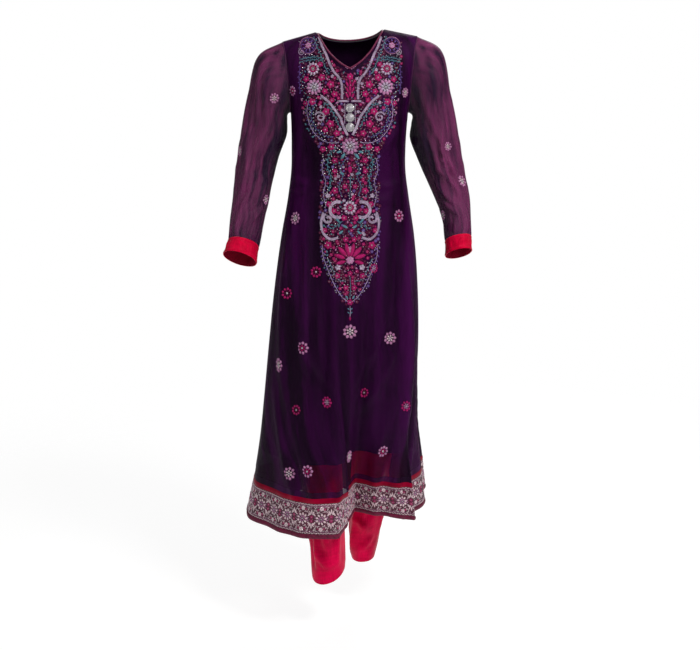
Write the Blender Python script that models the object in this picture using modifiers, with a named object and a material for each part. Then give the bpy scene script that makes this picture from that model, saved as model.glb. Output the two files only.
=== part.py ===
"""Salwar kameez suit: a long A-line kameez worn over straight salwar, hollow, as it hangs on a figure.

Metres, +Z up. The origin is between the two neck ends of the shoulder seams, where the wearer's
shoulders carry the suit. The front faces -Y, and the wearer's right arm is on the -X side.
Every cloth piece is an open surface, worked out from the tables below, that Solidify gives its wall.
"""

import bpy
import numpy as np

# ---------------------------------------------------------------- driving sizes
CHIFFON_WALL = 0.0011
LINING_WALL = 0.0010
BAND_WALL = 0.0014
BORDER_WALL = 0.0018
CUFF_WALL = 0.0016
SATIN_WALL = 0.0014
WAISTBAND_WALL = 0.0030
SEAM_GAP = 0.0004          # between neighbouring pieces along a sewn line
SIDE_SHIFT = 0.0005        # how far front and back panels each stand off the side seams
LINING_INSET = 0.0036      # from the chiffon's face to the lining's face

SECTION_POWER = 0.87       # below 1 makes a section fuller than an ellipse
ARMPIT_Z = -0.192
NECK_HALF_WIDTH = 0.081
SHOULDER_END_X = 0.160
SHOULDER_DROP = 0.019      # how much lower the shoulder seam ends than it starts
SHOULDER_ROUND = {"front": 0.070, "back": 0.058}
SHOULDER_TILT = 0.04       # the left shoulder is carried a little higher than the right
TILT_FROM_Z = -0.200
NECK_DEPTH = {"front": 0.089, "back": 0.022}

BAND_TOP_Z = -1.102
BAND_HEIGHT = 0.012
BORDER_HEIGHT = 0.075
EDGING_HEIGHT = 0.011
BORDER_TOP_Z = BAND_TOP_Z - BAND_HEIGHT
EDGING_TOP_Z = BORDER_TOP_Z - BORDER_HEIGHT
HEM_Z = EDGING_TOP_Z - EDGING_HEIGHT

# Half widths and depths of the kameez at each height: right is -X, left is +X.
KAMEEZ_COLUMNS = ("z", "right", "left", "front", "back")
KAMEEZ_SECTIONS = (
    (0.038, 0.196, 0.196, 0.052, 0.062),
    (-0.030, 0.184, 0.182, 0.070, 0.082),
    (-0.080, 0.170, 0.168, 0.086, 0.098),
    (-0.130, 0.156, 0.153, 0.104, 0.104),
    (-0.192, 0.143, 0.140, 0.121, 0.100),
    (-0.235, 0.141, 0.136, 0.126, 0.094),
    (-0.275, 0.141, 0.134, 0.118, 0.088),
    (-0.327, 0.142, 0.134, 0.105, 0.084),
    (-0.392, 0.150, 0.142, 0.104, 0.092),
    (-0.492, 0.168, 0.157, 0.120, 0.116),
    (-0.642, 0.189, 0.168, 0.144, 0.132),
    (-0.772, 0.203, 0.170, 0.166, 0.140),
    (-0.902, 0.216, 0.166, 0.188, 0.150),
    (-1.002, 0.227, 0.172, 0.204, 0.158),
    (-1.107, 0.244, 0.184, 0.218, 0.168),
    (-1.200, 0.264, 0.194, 0.230, 0.178),
)
# Armhole edge: distance from the middle at each height.
ARMHOLE_COLUMNS = ("z", "x")
ARMHOLE = (
    (-0.192, 0.1430),
    (-0.167, 0.1430),
    (-0.122, 0.1455),
    (-0.077, 0.1500),
    (-0.040, 0.1550),
    (-0.019, 0.1600),
)
# Neck edge as shares of the half width and of the depth, from the shoulder to the middle.
NECK_COLUMNS = ("across", "front", "back")
NECK_CURVE = (
    (1.00, 0.00, 0.00),
    (0.82, 0.28, 0.44),
    (0.66, 0.51, 0.68),
    (0.45, 0.72, 0.87),
    (0.22, 0.89, 0.97),
    (0.00, 1.00, 1.00),
)
# Skirt folds: each turns the cloth inwards, or outwards where its depth is negative. Angles run
# from the right side seam (0) over the front (90) to the left side seam (180) and round the back.
# Depth is at the hem, in metres.
FOLD_COLUMNS = ("angle", "before", "after", "depth", "top_z")
FOLDS = (
    (36.0, 24.0, 32.0, 0.023, -0.60),
    (58.0, 12.0, 12.0, 0.008, -0.46),
    (116.0, 11.0, 12.0, 0.013, -0.60),
    (139.0, 10.0, 10.0, 0.012, -0.72),
    (163.0, 19.0, 21.0, 0.050, -0.74),
    (210.0, 15.0, 17.0, -0.030, -0.74),
    (238.0, 15.0, 14.0, 0.036, -0.48),
    (268.0, 13.0, 15.0, 0.046, -0.55),
    (302.0, 15.0, 13.0, 0.034, -0.44),
    (335.0, 13.0, 12.0, 0.022, -0.70),
)
# The right leg is in front, so the left half of the skirt's front is set back: by the table's
# amount where the stride's fold ends, and less and less towards the left side.
STRIDE_COLUMNS = ("z", "set_back", "fold_from", "fold_to")
STRIDE = (
    (-0.480, 0.000, 60.0, 122.0),
    (-0.640, 0.008, 67.0, 114.0),
    (-0.800, 0.034, 76.0, 104.0),
    (-0.950, 0.084, 82.0, 96.0),
    (-1.080, 0.146, 84.5, 93.5),
    (-1.200, 0.196, 85.5, 92.5),
)
STRIDE_GONE = 167.0
# How much the hem rises at each angle.
LIFT_COLUMNS = ("angle", "lift")
HEM_LIFT = ((0, 0.002), (60, 0.0), (92, 0.006), (120, 0.004), (150, 0.0), (170, 0.006),
            (202, 0.025), (250, 0.010), (300, 0.008), (360, 0.002))

# Sleeve rings: the middle, half width along the arm's outer side, half depth, roll of the ring
# about Y and its forward pitch in degrees.
SLEEVE_COLUMNS = ("x", "y", "z", "half_width", "half_depth", "roll", "pitch")
SLEEVE_RINGS = {
    "right": (
        (0.1828, 0.004, -0.1205, 0.0820, 0.064, 66.5, 0),
        (0.1990, 0.006, -0.1770, 0.0586, 0.063, 36.5, 0),
        (0.2080, 0.009, -0.2335, 0.0552, 0.060, 12, 0),
        (0.2255, 0.011, -0.3000, 0.0500, 0.056, 8, 3),
        (0.2365, 0.006, -0.3550, 0.0465, 0.052, 9, 9),
        (0.2435, -0.008, -0.4040, 0.0440, 0.048, 9, 17),
        (0.2510, -0.031, -0.4530, 0.0415, 0.045, 10, 25),
        (0.2578, -0.058, -0.5040, 0.0372, 0.042, 12, 29),
    ),
    "left": (
        (0.1818, 0.004, -0.1220, 0.0824, 0.064, 67.3, 0),
        (0.1960, 0.006, -0.1850, 0.0596, 0.063, 37, 0),
        (0.2040, 0.009, -0.2430, 0.0590, 0.060, 14, 0),
        (0.2215, 0.009, -0.3050, 0.0530, 0.056, 10, 3),
        (0.2375, 0.002, -0.3560, 0.0465, 0.052, 9, 8),
        (0.2530, -0.012, -0.4050, 0.0405, 0.049, 8, 15),
        (0.2600, -0.032, -0.4510, 0.0345, 0.046, 8, 21),
        (0.2627, -0.050, -0.4930, 0.0320, 0.043, 9, 23),
    ),
}
CUFF_RINGS = {
    "right": ((0.2579, -0.0583, -0.5046, 0.0375, 0.0422, 12, 29),
              (0.2660, -0.0770, -0.5385, 0.0415, 0.0470, 14, 29)),
    "left": ((0.2627, -0.0502, -0.4936, 0.0322, 0.0432, 9, 23),
             (0.2632, -0.0645, -0.5275, 0.0325, 0.0450, 10, 23)),
}
# Sleeve folds: the angle runs from the outer side (0) over the front (90) to the underarm (180),
# and drift turns the fold as it comes down. Start and end are shares of the sleeve's length.
SLEEVE_FOLD_COLUMNS = ("angle", "width", "depth", "start", "end", "drift")
SLEEVE_FOLDS = {
    "right": (
        (62.0, 24.0, 0.0050, 0.08, 0.78, 26.0),
        (118.0, 26.0, 0.0060, 0.16, 0.92, -22.0),
        (232.0, 26.0, 0.0055, 0.12, 0.84, 18.0),
        (300.0, 24.0, 0.0045, 0.20, 0.90, -16.0),
    ),
    "left": (
        (48.0, 24.0, 0.0050, 0.10, 0.84, 22.0),
        (92.0, 22.0, 0.0060, 0.12, 0.90, -14.0),
        (150.0, 26.0, 0.0050, 0.20, 0.80, -18.0),
        (246.0, 26.0, 0.0060, 0.14, 0.88, 16.0),
        (312.0, 24.0, 0.0045, 0.24, 0.92, -18.0),
    ),
}

# Salwar: the seat's half width and depths, then each leg's rings.
SALWAR_TOP_Z = -0.387
WAISTBAND_HEIGHT = 0.034
CROTCH_FROM_Z, CROTCH_TO_Z = -0.567, -0.717
SEAT_COLUMNS = ("z", "half_width", "front", "back")
SEAT = (
    (-0.342, 0.126, 0.0983, 0.0800),
    (-0.402, 0.132, 0.0985, 0.0875),
    (-0.502, 0.145, 0.1040, 0.1030),
    (-0.602, 0.152, 0.1080, 0.1090),
    (-0.742, 0.154, 0.108, 0.110),
)
LEG_COLUMNS = ("z", "x", "y", "half_width", "half_depth", "roll", "pitch")
LEG_RINGS = {
    "right": (
        (-0.542, 0.0800, 0.000, 0.0780, 0.100, 0, 0),
        (-0.717, 0.0830, -0.004, 0.0780, 0.096, 0, 0),
        (-0.832, 0.0860, -0.022, 0.0700, 0.084, 0, 0),
        (-0.982, 0.0810, -0.046, 0.0580, 0.070, 0, 0),
        (-1.132, 0.0680, -0.074, 0.0490, 0.060, -4, -4),
        (-1.232, 0.0580, -0.090, 0.0440, 0.054, -9, -12),
        (-1.323, 0.0538, -0.100, 0.0435, 0.050, -17, -24),
    ),
    "left": (
        (-0.542, 0.0780, 0.000, 0.0740, 0.100, 0, 0),
        (-0.717, 0.0780, 0.000, 0.0730, 0.096, 0, 0),
        (-0.832, 0.0770, 0.012, 0.0660, 0.082, 0, 0),
        (-0.982, 0.0660, 0.030, 0.0560, 0.068, 0, 0),
        (-1.132, 0.0510, 0.048, 0.0480, 0.058, 2, -2),
        (-1.232, 0.0400, 0.055, 0.0450, 0.054, 4, -3),
        (-1.300, 0.0325, 0.056, 0.0425, 0.052, 6, -5),
        (-1.340, 0.0350, 0.054, 0.0310, 0.050, 6, -6),
    ),
}

PIPING_RADIUS = 0.0020
BUTTON_RADIUS = 0.0095
BUTTON_HEIGHT = 0.0058
BUTTON_STEP = 0.0220
FIRST_BUTTON_Z = -0.178

# Grid rows and columns. Columns are counted from side seam to neck end, to the middle, to the
# other neck end and to the other side seam.
NECK_SHARE = 0.36
PANEL_COLUMNS = {"front": (7, 7, 9, 7), "back": (6, 5, 5, 6)}
YOKE_ROWS = {"front": 8, "back": 7}
SKIRT_Z = (-0.192, -0.226, -0.260, -0.294, -0.327, -0.360, -0.400, -0.450, -0.510, -0.580,
           -0.660, -0.745, -0.835, -0.925, -1.017, BAND_TOP_Z)
LINING_HEM_ROW = 14
SLEEVE_AROUND, SLEEVE_ALONG = 18, 16
LEG_AROUND, LEG_ALONG = 16, 16
WAISTBAND_AROUND = 30

SIDES = {"right": -1.0, "left": 1.0}
# Principled BSDF: colour, roughness, metallic.
MATERIALS = {
    "chiffon": ((0.030, 0.003, 0.034), 0.62, 0.0),
    "sheer_chiffon": ((0.105, 0.026, 0.068), 0.60, 0.0),
    "lining": ((0.014, 0.002, 0.018), 0.55, 0.0),
    "red_satin": ((0.600, 0.008, 0.055), 0.38, 0.0),
    "brocade": ((0.400, 0.230, 0.270), 0.42, 0.35),
    "edging": ((0.190, 0.006, 0.045), 0.50, 0.0),
    "silver": ((0.720, 0.700, 0.720), 0.22, 0.9),
}


# ---------------------------------------------------------------- small tools
def column(table, names, name):
    """One named column of a table, as an array."""
    return np.array([row[names.index(name)] for row in table], float)


def smooth(at, knots, values):
    """Cubic Hermite curve through (knots, values), read at any points; it is flat outside them."""
    order = np.argsort(knots)
    knots, values = np.asarray(knots, float)[order], np.asarray(values, float)[order]
    slopes = np.gradient(values, knots, axis=0)
    at = np.clip(at, knots[0], knots[-1])
    i = np.clip(np.searchsorted(knots, at) - 1, 0, len(knots) - 2)
    step = knots[i + 1] - knots[i]
    t = (at - knots[i]) / step
    shape = t.shape + (1,) * (values.ndim - 1)
    t, step = t.reshape(shape), step.reshape(shape)
    return ((1 + 2 * t) * (1 - t) ** 2 * values[i] + t * (1 - t) ** 2 * step * slopes[i]
            + t * t * (3 - 2 * t) * values[i + 1] - t * t * (1 - t) * step * slopes[i + 1])


def ramp(t):
    """Smooth step from 0 to 1."""
    t = np.clip(t, 0.0, 1.0)
    return t * t * (3 - 2 * t)


def bump(offset, before, after):
    """A soft hump of height 1 at offset 0 that is 0 past its two half widths."""
    width = np.where(offset < 0, before, after)
    return 0.5 * (1 + np.cos(np.pi * np.clip(offset / width, -1, 1)))


# ---------------------------------------------------------------- the kameez's surface
def section_at(z):
    """Half widths and depths of the kameez at height z."""
    heights = column(KAMEEZ_SECTIONS, KAMEEZ_COLUMNS, "z")
    return [smooth(z, heights, column(KAMEEZ_SECTIONS, KAMEEZ_COLUMNS, name))
            for name in KAMEEZ_COLUMNS[1:]]


def skirt_point(angle, z):
    """Kameez below the armpits: a full oval section, less the stride's set-back and the folds."""
    right, left, front, back = section_at(z)
    turn = np.radians(angle)
    across, ahead = np.cos(turn), np.sin(turn)
    half = np.where(across > 0, right, left)
    depth = np.where(ahead > 0, front, back)
    x = -half * np.sign(across) * np.abs(across) ** SECTION_POWER
    y = -depth * np.sign(ahead) * np.abs(ahead) ** SECTION_POWER
    heights = column(STRIDE, STRIDE_COLUMNS, "z")
    set_back, fold_from, fold_to = (smooth(z, heights, column(STRIDE, STRIDE_COLUMNS, name))
                                    for name in STRIDE_COLUMNS[1:])
    stepped = ramp((angle - fold_from) / (fold_to - fold_from))
    left_over = np.clip((STRIDE_GONE - angle) / (STRIDE_GONE - fold_to), 0, 1)
    y = y + set_back * stepped * left_over
    inward_x, inward_y = across / half, ahead / depth
    length = np.hypot(inward_x, inward_y)
    for centre, before, after, depth_at_hem, top_z in FOLDS:
        offset = (angle - centre + 180.0) % 360.0 - 180.0
        deep = depth_at_hem * np.clip((top_z - z) / (top_z - HEM_Z), 0, None) ** 1.3
        push = deep * bump(offset, before, after)
        x = x + push * inward_x / length
        y = y + push * inward_y / length
    lift = smooth(angle % 360.0, column(HEM_LIFT, LIFT_COLUMNS, "angle"),
                  column(HEM_LIFT, LIFT_COLUMNS, "lift"))
    rise = np.clip((ARMPIT_Z - z) / (ARMPIT_Z - HEM_Z), 0, None) ** 2
    return np.stack([x, y, z + lift * rise], -1)


def shoulder_z(x):
    """Height of the shoulder seam's line at x."""
    out = np.clip((np.abs(x) - NECK_HALF_WIDTH) / (SHOULDER_END_X - NECK_HALF_WIDTH), 0, None)
    return -SHOULDER_DROP * out


def yoke_depth(x, z, side):
    """How far the cloth above the armpits stands out from the shoulder seams' plane."""
    right, left, front, back = section_at(z)
    half = np.where(x < 0, right, left)
    depth = front if side == "front" else back
    power = 1.0 / SECTION_POWER
    oval = np.clip(1 - np.clip(np.abs(x) / half, 0, 1) ** (2 * power), 0, 1) ** (0.5 / power)
    over = np.clip((shoulder_z(x) - z) / SHOULDER_ROUND[side], 0, 1)
    return depth * oval * np.sqrt(1 - (1 - over) ** 2)


def armhole_x(z, side_name):
    """Distance of the armhole's edge from the middle, at height z, for one side."""
    heights = column(ARMHOLE, ARMHOLE_COLUMNS, "z")
    nominal = smooth(z, heights, column(ARMHOLE, ARMHOLE_COLUMNS, "x"))
    at_armpit = dict(zip(KAMEEZ_COLUMNS[1:], section_at(np.array(ARMPIT_Z))))[side_name]
    fade = ramp((z - ARMPIT_Z) / 0.05)
    return nominal + (at_armpit - ARMHOLE[0][1]) * (1 - fade)


def yoke_point(share, rise, side):
    """Kameez from the armpits to the shoulder seams and neck edge.

    share runs across from the right armhole (0) to the left (1), rise from the armpits (0) up (1).
    The outline is blended from its four edges, and then laid on the depth of the figure.
    """
    angle = np.radians(180.0 * share)
    right, left, _, _ = section_at(np.full_like(share, ARMPIT_Z))
    across = np.cos(angle)
    base_x = -np.where(across > 0, right, left) * np.sign(across) * np.abs(across) ** SECTION_POWER
    base = np.stack([base_x, np.full_like(share, ARMPIT_Z)], -1)

    out = np.abs(share - 0.5) * 2
    on_neck = out <= NECK_SHARE
    neck_t = np.clip(out / NECK_SHARE, 0, 1)
    curve_at = column(NECK_CURVE, NECK_COLUMNS, "across")
    neck_drop = smooth(neck_t, curve_at, column(NECK_CURVE, NECK_COLUMNS, side))
    seam_t = np.clip((out - NECK_SHARE) / (1 - NECK_SHARE), 0, 1)
    top_x = np.where(on_neck, NECK_HALF_WIDTH * neck_t,
                     NECK_HALF_WIDTH + (SHOULDER_END_X - NECK_HALF_WIDTH) * seam_t)
    top_z = np.where(on_neck, -NECK_DEPTH[side] * neck_drop, shoulder_z(top_x))
    top = np.stack([np.sign(share - 0.5) * top_x, top_z], -1)

    edge_z = ARMPIT_Z + (-SHOULDER_DROP - ARMPIT_Z) * rise
    right_edge = np.stack([-armhole_x(edge_z, "right"), edge_z], -1)
    left_edge = np.stack([armhole_x(edge_z, "left"), edge_z], -1)
    s, r = share[..., None], rise[..., None]
    corner = np.array([[-right[0, 0], ARMPIT_Z], [left[0, 0], ARMPIT_Z],
                       [-SHOULDER_END_X, -SHOULDER_DROP], [SHOULDER_END_X, -SHOULDER_DROP]])
    flat = ((1 - r) * base + r * top + (1 - s) * right_edge + s * left_edge
            - (1 - s) * (1 - r) * corner[0] - s * (1 - r) * corner[1]
            - (1 - s) * r * corner[2] - s * r * corner[3])
    x, z = flat[..., 0], flat[..., 1]
    forward = -1.0 if side == "front" else 1.0
    # At the armpits the depth comes from the section's own angle, which is exact at the seams.
    exact = np.sin(angle) ** SECTION_POWER * section_at(np.array(ARMPIT_Z))[2 if side == "front" else 3]
    exact = exact + 0 * x
    near = 1 - ramp(rise / 0.12)
    y = forward * (near * exact + (1 - near) * yoke_depth(x, z, side))
    return np.stack([x, y, z], -1)


def leaned(points):
    """Raises the left shoulder a little over the right one; nothing below the armpits moves."""
    points = points.copy()
    lift = ramp((points[..., 2] - TILT_FROM_Z) / -TILT_FROM_Z)
    points[..., 2] += SHOULDER_TILT * points[..., 0] * lift
    return points


def side_angles(shares, side):
    """Section angles of a panel's columns: the back runs the other way round the section."""
    return 180 * shares if side == "front" else 360 - 180 * shares


def panel_shares(side):
    """Grid columns across a panel, spread along the lengths of its hem and its bust line together."""
    fine = np.linspace(0, 1, 1441)
    travel = np.zeros_like(fine)
    for z in (HEM_Z, ARMPIT_Z):
        line = skirt_point(side_angles(fine, side), np.full_like(fine, z))
        travel[1:] += np.cumsum(np.linalg.norm(np.diff(line, axis=0), axis=1))
    ends = (0.0, 0.5 - NECK_SHARE / 2, 0.5, 0.5 + NECK_SHARE / 2, 1.0)
    shares = [0.0]
    for low, high, count in zip(ends[:-1], ends[1:], PANEL_COLUMNS[side]):
        low_at, high_at = np.interp((low, high), fine, travel)
        shares += list(np.interp(np.linspace(low_at, high_at, count + 1)[1:], travel, fine))
    return np.array(shares)


def panel_grid(side, skirt_z, with_yoke=False):
    """Points of a panel: rows down the skirt at the given heights, under the yoke's rows."""
    shares = panel_shares(side)
    rows = []
    if with_yoke:
        # Rows are closer together where the cloth turns over the shoulder.
        t = np.linspace(0, 1, YOKE_ROWS[side] + 1)[:0:-1]
        s, r = np.meshgrid(shares, 1 - (1 - t) ** 1.75)
        rows.append(leaned(yoke_point(s, r, side)))
    a, z = np.meshgrid(side_angles(shares, side), np.asarray(skirt_z))
    rows.append(skirt_point(a, z))
    grid = np.concatenate(rows)
    grid[..., 1] += -SIDE_SHIFT if side == "front" else SIDE_SHIFT
    return grid


# ---------------------------------------------------------------- tubes: sleeves and legs
def ring_points(rows, names, side, around):
    """Points of each ring of a table: an oval, rolled about Y and pitched forwards."""
    table = {name: column(rows, names, name)[:, None] for name in names}
    roll, pitch = np.radians(table["roll"]), np.radians(table["pitch"])
    out, ahead = np.cos(around), np.sin(around)
    reach = table["x"] + table["half_width"] * out * np.cos(roll)
    y = table["y"] - table["half_depth"] * ahead * np.cos(pitch)
    z = (table["z"] + table["half_width"] * out * np.sin(roll)
         + table["half_depth"] * ahead * np.sin(pitch))
    return np.stack([SIDES[side] * reach, y, z], -1)


def armhole_ring(side, around):
    """The armhole's edge as a ring, from the shoulder's end over the front to the armpit."""
    up = (1 + np.cos(around)) / 2
    z = ARMPIT_Z + (-SHOULDER_DROP - ARMPIT_Z) * up
    x = SIDES[side] * armhole_x(z, side)
    front, back = yoke_depth(x, z, "front"), yoke_depth(x, z, "back")
    ahead = np.sin(around)
    y = np.where(ahead >= 0, -front, back)
    return np.stack([x + SIDES[side] * 2 * SEAM_GAP, y, z], -1)


def along_rings(rings, shares):
    """Rings read at shares of the tube's length, by a smooth curve through each ring's points."""
    middles = rings.mean(axis=1)
    travel = np.concatenate([[0], np.cumsum(np.linalg.norm(np.diff(middles, axis=0), axis=1))])
    return smooth(np.asarray(shares) * travel[-1], travel, rings)


def sleeve_grid(side, along, count):
    """Points of a sleeve, from the armhole to the wrist, with its soft folds."""
    around = np.linspace(0, 2 * np.pi, count, endpoint=False)
    rings = np.concatenate([armhole_ring(side, around)[None],
                            ring_points(SLEEVE_RINGS[side], SLEEVE_COLUMNS, side, around)])
    grid = along_rings(rings, along)
    inward = grid.mean(axis=1, keepdims=True) - grid
    inward /= np.linalg.norm(inward, axis=-1, keepdims=True)
    degrees = np.degrees(around)[None, :]
    share = np.asarray(along)[:, None]
    for angle, width, depth, start, end, drift in SLEEVE_FOLDS[side]:
        t = (share - start) / (end - start)
        strength = np.where((t > 0) & (t < 1), np.sin(np.pi * np.clip(t, 0, 1)) ** 0.8, 0.0)
        offset = (degrees - angle - drift * (share - start) + 180) % 360 - 180
        grid = grid + (depth * strength * bump(offset, width, width))[..., None] * inward
    return leaned(grid)


def leg_grid(side, heights, count):
    """Points of a salwar leg, cut as one piece: from the front edge round the outer side to the back.

    Above the crotch the edges are the centre seams; below it they meet along the inside leg.
    """
    z = np.asarray(heights)[:, None]
    share = np.linspace(0, 1, count + 1)[None, :]
    seat_z = column(SEAT, SEAT_COLUMNS, "z")
    half, front, back = (smooth(z, seat_z, column(SEAT, SEAT_COLUMNS, name))
                         for name in SEAT_COLUMNS[1:])
    turn = np.pi * share
    depth = np.where(share < 0.5, front, back)
    seat = np.stack([half * np.sin(turn) ** SECTION_POWER,
                     -depth * np.sign(np.cos(turn)) * np.abs(np.cos(turn)) ** SECTION_POWER,
                     z + 0 * share], -1)
    rings = LEG_RINGS[side]
    at = {name: smooth(z, column(rings, LEG_COLUMNS, "z"), column(rings, LEG_COLUMNS, name))
          for name in LEG_COLUMNS[1:]}
    turn = 2 * np.pi * share + np.pi
    roll, pitch = np.radians(at["roll"]), np.radians(at["pitch"])
    out, ahead = np.cos(turn), -np.sin(turn)
    leg = np.stack([at["x"] + at["half_width"] * out * np.cos(roll),
                    at["y"] - at["half_depth"] * ahead * np.cos(pitch),
                    z + at["half_width"] * out * np.sin(roll)
                    + at["half_depth"] * ahead * np.sin(pitch)], -1)
    parted = ramp((CROTCH_FROM_Z - z) / (CROTCH_FROM_Z - CROTCH_TO_Z))[..., None]
    grid = (1 - parted) * seat + parted * leg
    # Both edges stand off the seam that they are sewn in.
    off = 2 * np.abs(share - 0.5) > 0.999
    apart = np.where(share < 0.5, -SEAM_GAP, SEAM_GAP)
    grid[..., 1] += np.where(off, apart, 0) * parted[..., 0]
    grid[..., 0] = SIDES[side] * np.maximum(grid[..., 0], SEAM_GAP)
    return grid


# ---------------------------------------------------------------- objects
def make_material(name):
    """A Principled BSDF material with the finish's colour."""
    if name in bpy.data.materials:
        return bpy.data.materials[name]
    colour, roughness, metallic = MATERIALS[name]
    material = bpy.data.materials.new(name)
    material.use_nodes = True
    shader = material.node_tree.nodes["Principled BSDF"]
    shader.inputs["Base Color"].default_value = (*colour, 1.0)
    shader.inputs["Roughness"].default_value = roughness
    shader.inputs["Metallic"].default_value = metallic
    material.diffuse_color = (*colour, 1.0)
    return material


def add_object(name, mesh, finish, collection):
    """Links a mesh as a named object with its material and smooth shading."""
    part = bpy.data.objects.new(name, mesh)
    mesh.materials.append(make_material(finish))
    mesh.shade_smooth()
    mesh.set_sharp_from_angle(angle=np.radians(50))
    collection.objects.link(part)
    return part


def cloth(name, grid, wall, finish, collection, flip=False, ring=False):
    """A cloth piece: the grid of points as an open surface, with its wall on the inner side."""
    rows, columns = grid.shape[:2]
    index = np.arange(rows * columns).reshape(rows, columns)
    if ring:
        index = np.concatenate([index, index[:, :1]], axis=1)
    quads = np.stack([index[:-1, :-1], index[1:, :-1], index[1:, 1:], index[:-1, 1:]], -1)
    quads = quads.reshape(-1, 4)
    if flip:
        quads = quads[:, ::-1]
    mesh = bpy.data.meshes.new(name)
    mesh.from_pydata(grid.reshape(-1, 3).tolist(), [], quads.tolist())
    part = add_object(name, mesh, finish, collection)
    solidify = part.modifiers.new("wall", "SOLIDIFY")
    solidify.thickness = wall
    solidify.offset = -1.0
    return part


def inset(grid, distance):
    """The grid moved by a distance against its own normals."""
    normal = np.cross(np.gradient(grid, axis=0), np.gradient(grid, axis=1))
    normal /= np.linalg.norm(normal, axis=-1, keepdims=True)
    return grid - distance * normal


def make_kameez(collection):
    """Front and back panels, the lining under them, the hem's three strips and the neck piping."""
    strips = (
        ("hem_band", BAND_TOP_Z - SEAM_GAP, BORDER_TOP_Z, 1, BAND_WALL, "red_satin"),
        ("border", BORDER_TOP_Z - SEAM_GAP, EDGING_TOP_Z, 2, BORDER_WALL, "brocade"),
        ("hem_edging", EDGING_TOP_Z - SEAM_GAP, HEM_Z, 1, BAND_WALL, "edging"),
    )
    panels = {}
    for side, turned in (("front", 1.0), ("back", -1.0)):
        flip = turned < 0
        grid = panels[side] = panel_grid(side, SKIRT_Z, with_yoke=True)
        cloth(f"kameez_{side}", grid, CHIFFON_WALL, "chiffon", collection, flip)
        for name, top, bottom, rows, wall, finish in strips:
            strip = panel_grid(side, np.linspace(top, bottom, rows + 1))
            cloth(f"{name}_{side}", strip, wall, finish, collection, flip)
        lining = inset(grid, turned * LINING_INSET)[: YOKE_ROWS[side] + LINING_HEM_ROW + 1]
        # The inset would carry the two linings into each other along the shoulder seams.
        lining[..., 1] = turned * np.minimum(turned * lining[..., 1], -SIDE_SHIFT)
        cloth(f"lining_{side}", lining, LINING_WALL, "lining", collection, flip)
    make_piping(panels, collection)
    make_buttons(panels["front"], collection)


def make_piping(panels, collection):
    """A fine rolled piping round the neck, laid on from the panels' own edge."""
    path = []
    for side, turned in (("front", 1), ("back", -1)):
        across = np.abs(panel_shares(side) - 0.5) * 2 <= NECK_SHARE + 1e-6
        edge, below = (panels[side][row, across][::turned] for row in (0, 1))
        along = np.gradient(edge, axis=0)
        along /= np.linalg.norm(along, axis=1, keepdims=True)
        away = edge - below
        away -= (away * along).sum(axis=1, keepdims=True) * along
        away /= np.linalg.norm(away, axis=1, keepdims=True)
        inner = np.cross(along, away) * CHIFFON_WALL / 2
        path.append((edge + away * (PIPING_RADIUS + 5 * SEAM_GAP) + inner)[:-1])
    path = np.concatenate(path)
    curve = bpy.data.curves.new("neck_piping", "CURVE")
    curve.dimensions = "3D"
    curve.bevel_depth = PIPING_RADIUS
    curve.bevel_resolution = 1
    spline = curve.splines.new("POLY")
    spline.points.add(len(path) - 1)
    spline.points.foreach_set("co", np.c_[path, np.ones(len(path))].astype(np.float32).ravel())
    spline.use_cyclic_u = True
    curve.materials.append(make_material("edging"))
    collection.objects.link(bpy.data.objects.new("neck_piping", curve))


def make_sleeves(collection):
    """Both sleeves and their cuffs."""
    for side in SIDES:
        flip = side == "left"
        along = np.linspace(0, 1, SLEEVE_ALONG + 1) ** 1.15
        grid = sleeve_grid(side, along, SLEEVE_AROUND)
        cloth(f"sleeve_{side}", grid, CHIFFON_WALL, "sheer_chiffon", collection, flip, ring=True)
        around = np.linspace(0, 2 * np.pi, SLEEVE_AROUND, endpoint=False)
        ends = ring_points(CUFF_RINGS[side], SLEEVE_COLUMNS, side, around)
        cuff = np.stack([ends[0] + t * (ends[1] - ends[0]) for t in (0.0, 0.5, 1.0)])
        cloth(f"cuff_{side}", cuff, CUFF_WALL, "red_satin", collection, flip, ring=True)


def make_salwar(collection):
    """Two legs, each cut as one piece, under a waistband."""
    for side in SIDES:
        hem = LEG_RINGS[side][-1][0]
        heights = np.linspace(SALWAR_TOP_Z, hem, LEG_ALONG + 1)
        grid = leg_grid(side, heights, LEG_AROUND)
        cloth(f"salwar_leg_{side}", grid, SATIN_WALL, "red_satin", collection, side == "right")
    turn = np.linspace(0, 2 * np.pi, WAISTBAND_AROUND, endpoint=False)[None, :]
    z = np.linspace(SALWAR_TOP_Z + WAISTBAND_HEIGHT, SALWAR_TOP_Z + SEAM_GAP, 2)[:, None]
    seat_z = column(SEAT, SEAT_COLUMNS, "z")
    half, front, back = (smooth(z, seat_z, column(SEAT, SEAT_COLUMNS, name))
                         for name in SEAT_COLUMNS[1:])
    depth = np.where(np.sin(turn) > 0, front, back)
    across, ahead = np.cos(turn), np.sin(turn)
    band = np.stack([-half * np.sign(across) * np.abs(across) ** SECTION_POWER,
                     -depth * np.sign(ahead) * np.abs(ahead) ** SECTION_POWER,
                     z + 0 * turn], -1)
    cloth("salwar_waistband", band, WAISTBAND_WALL, "red_satin", collection, ring=True)


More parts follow.
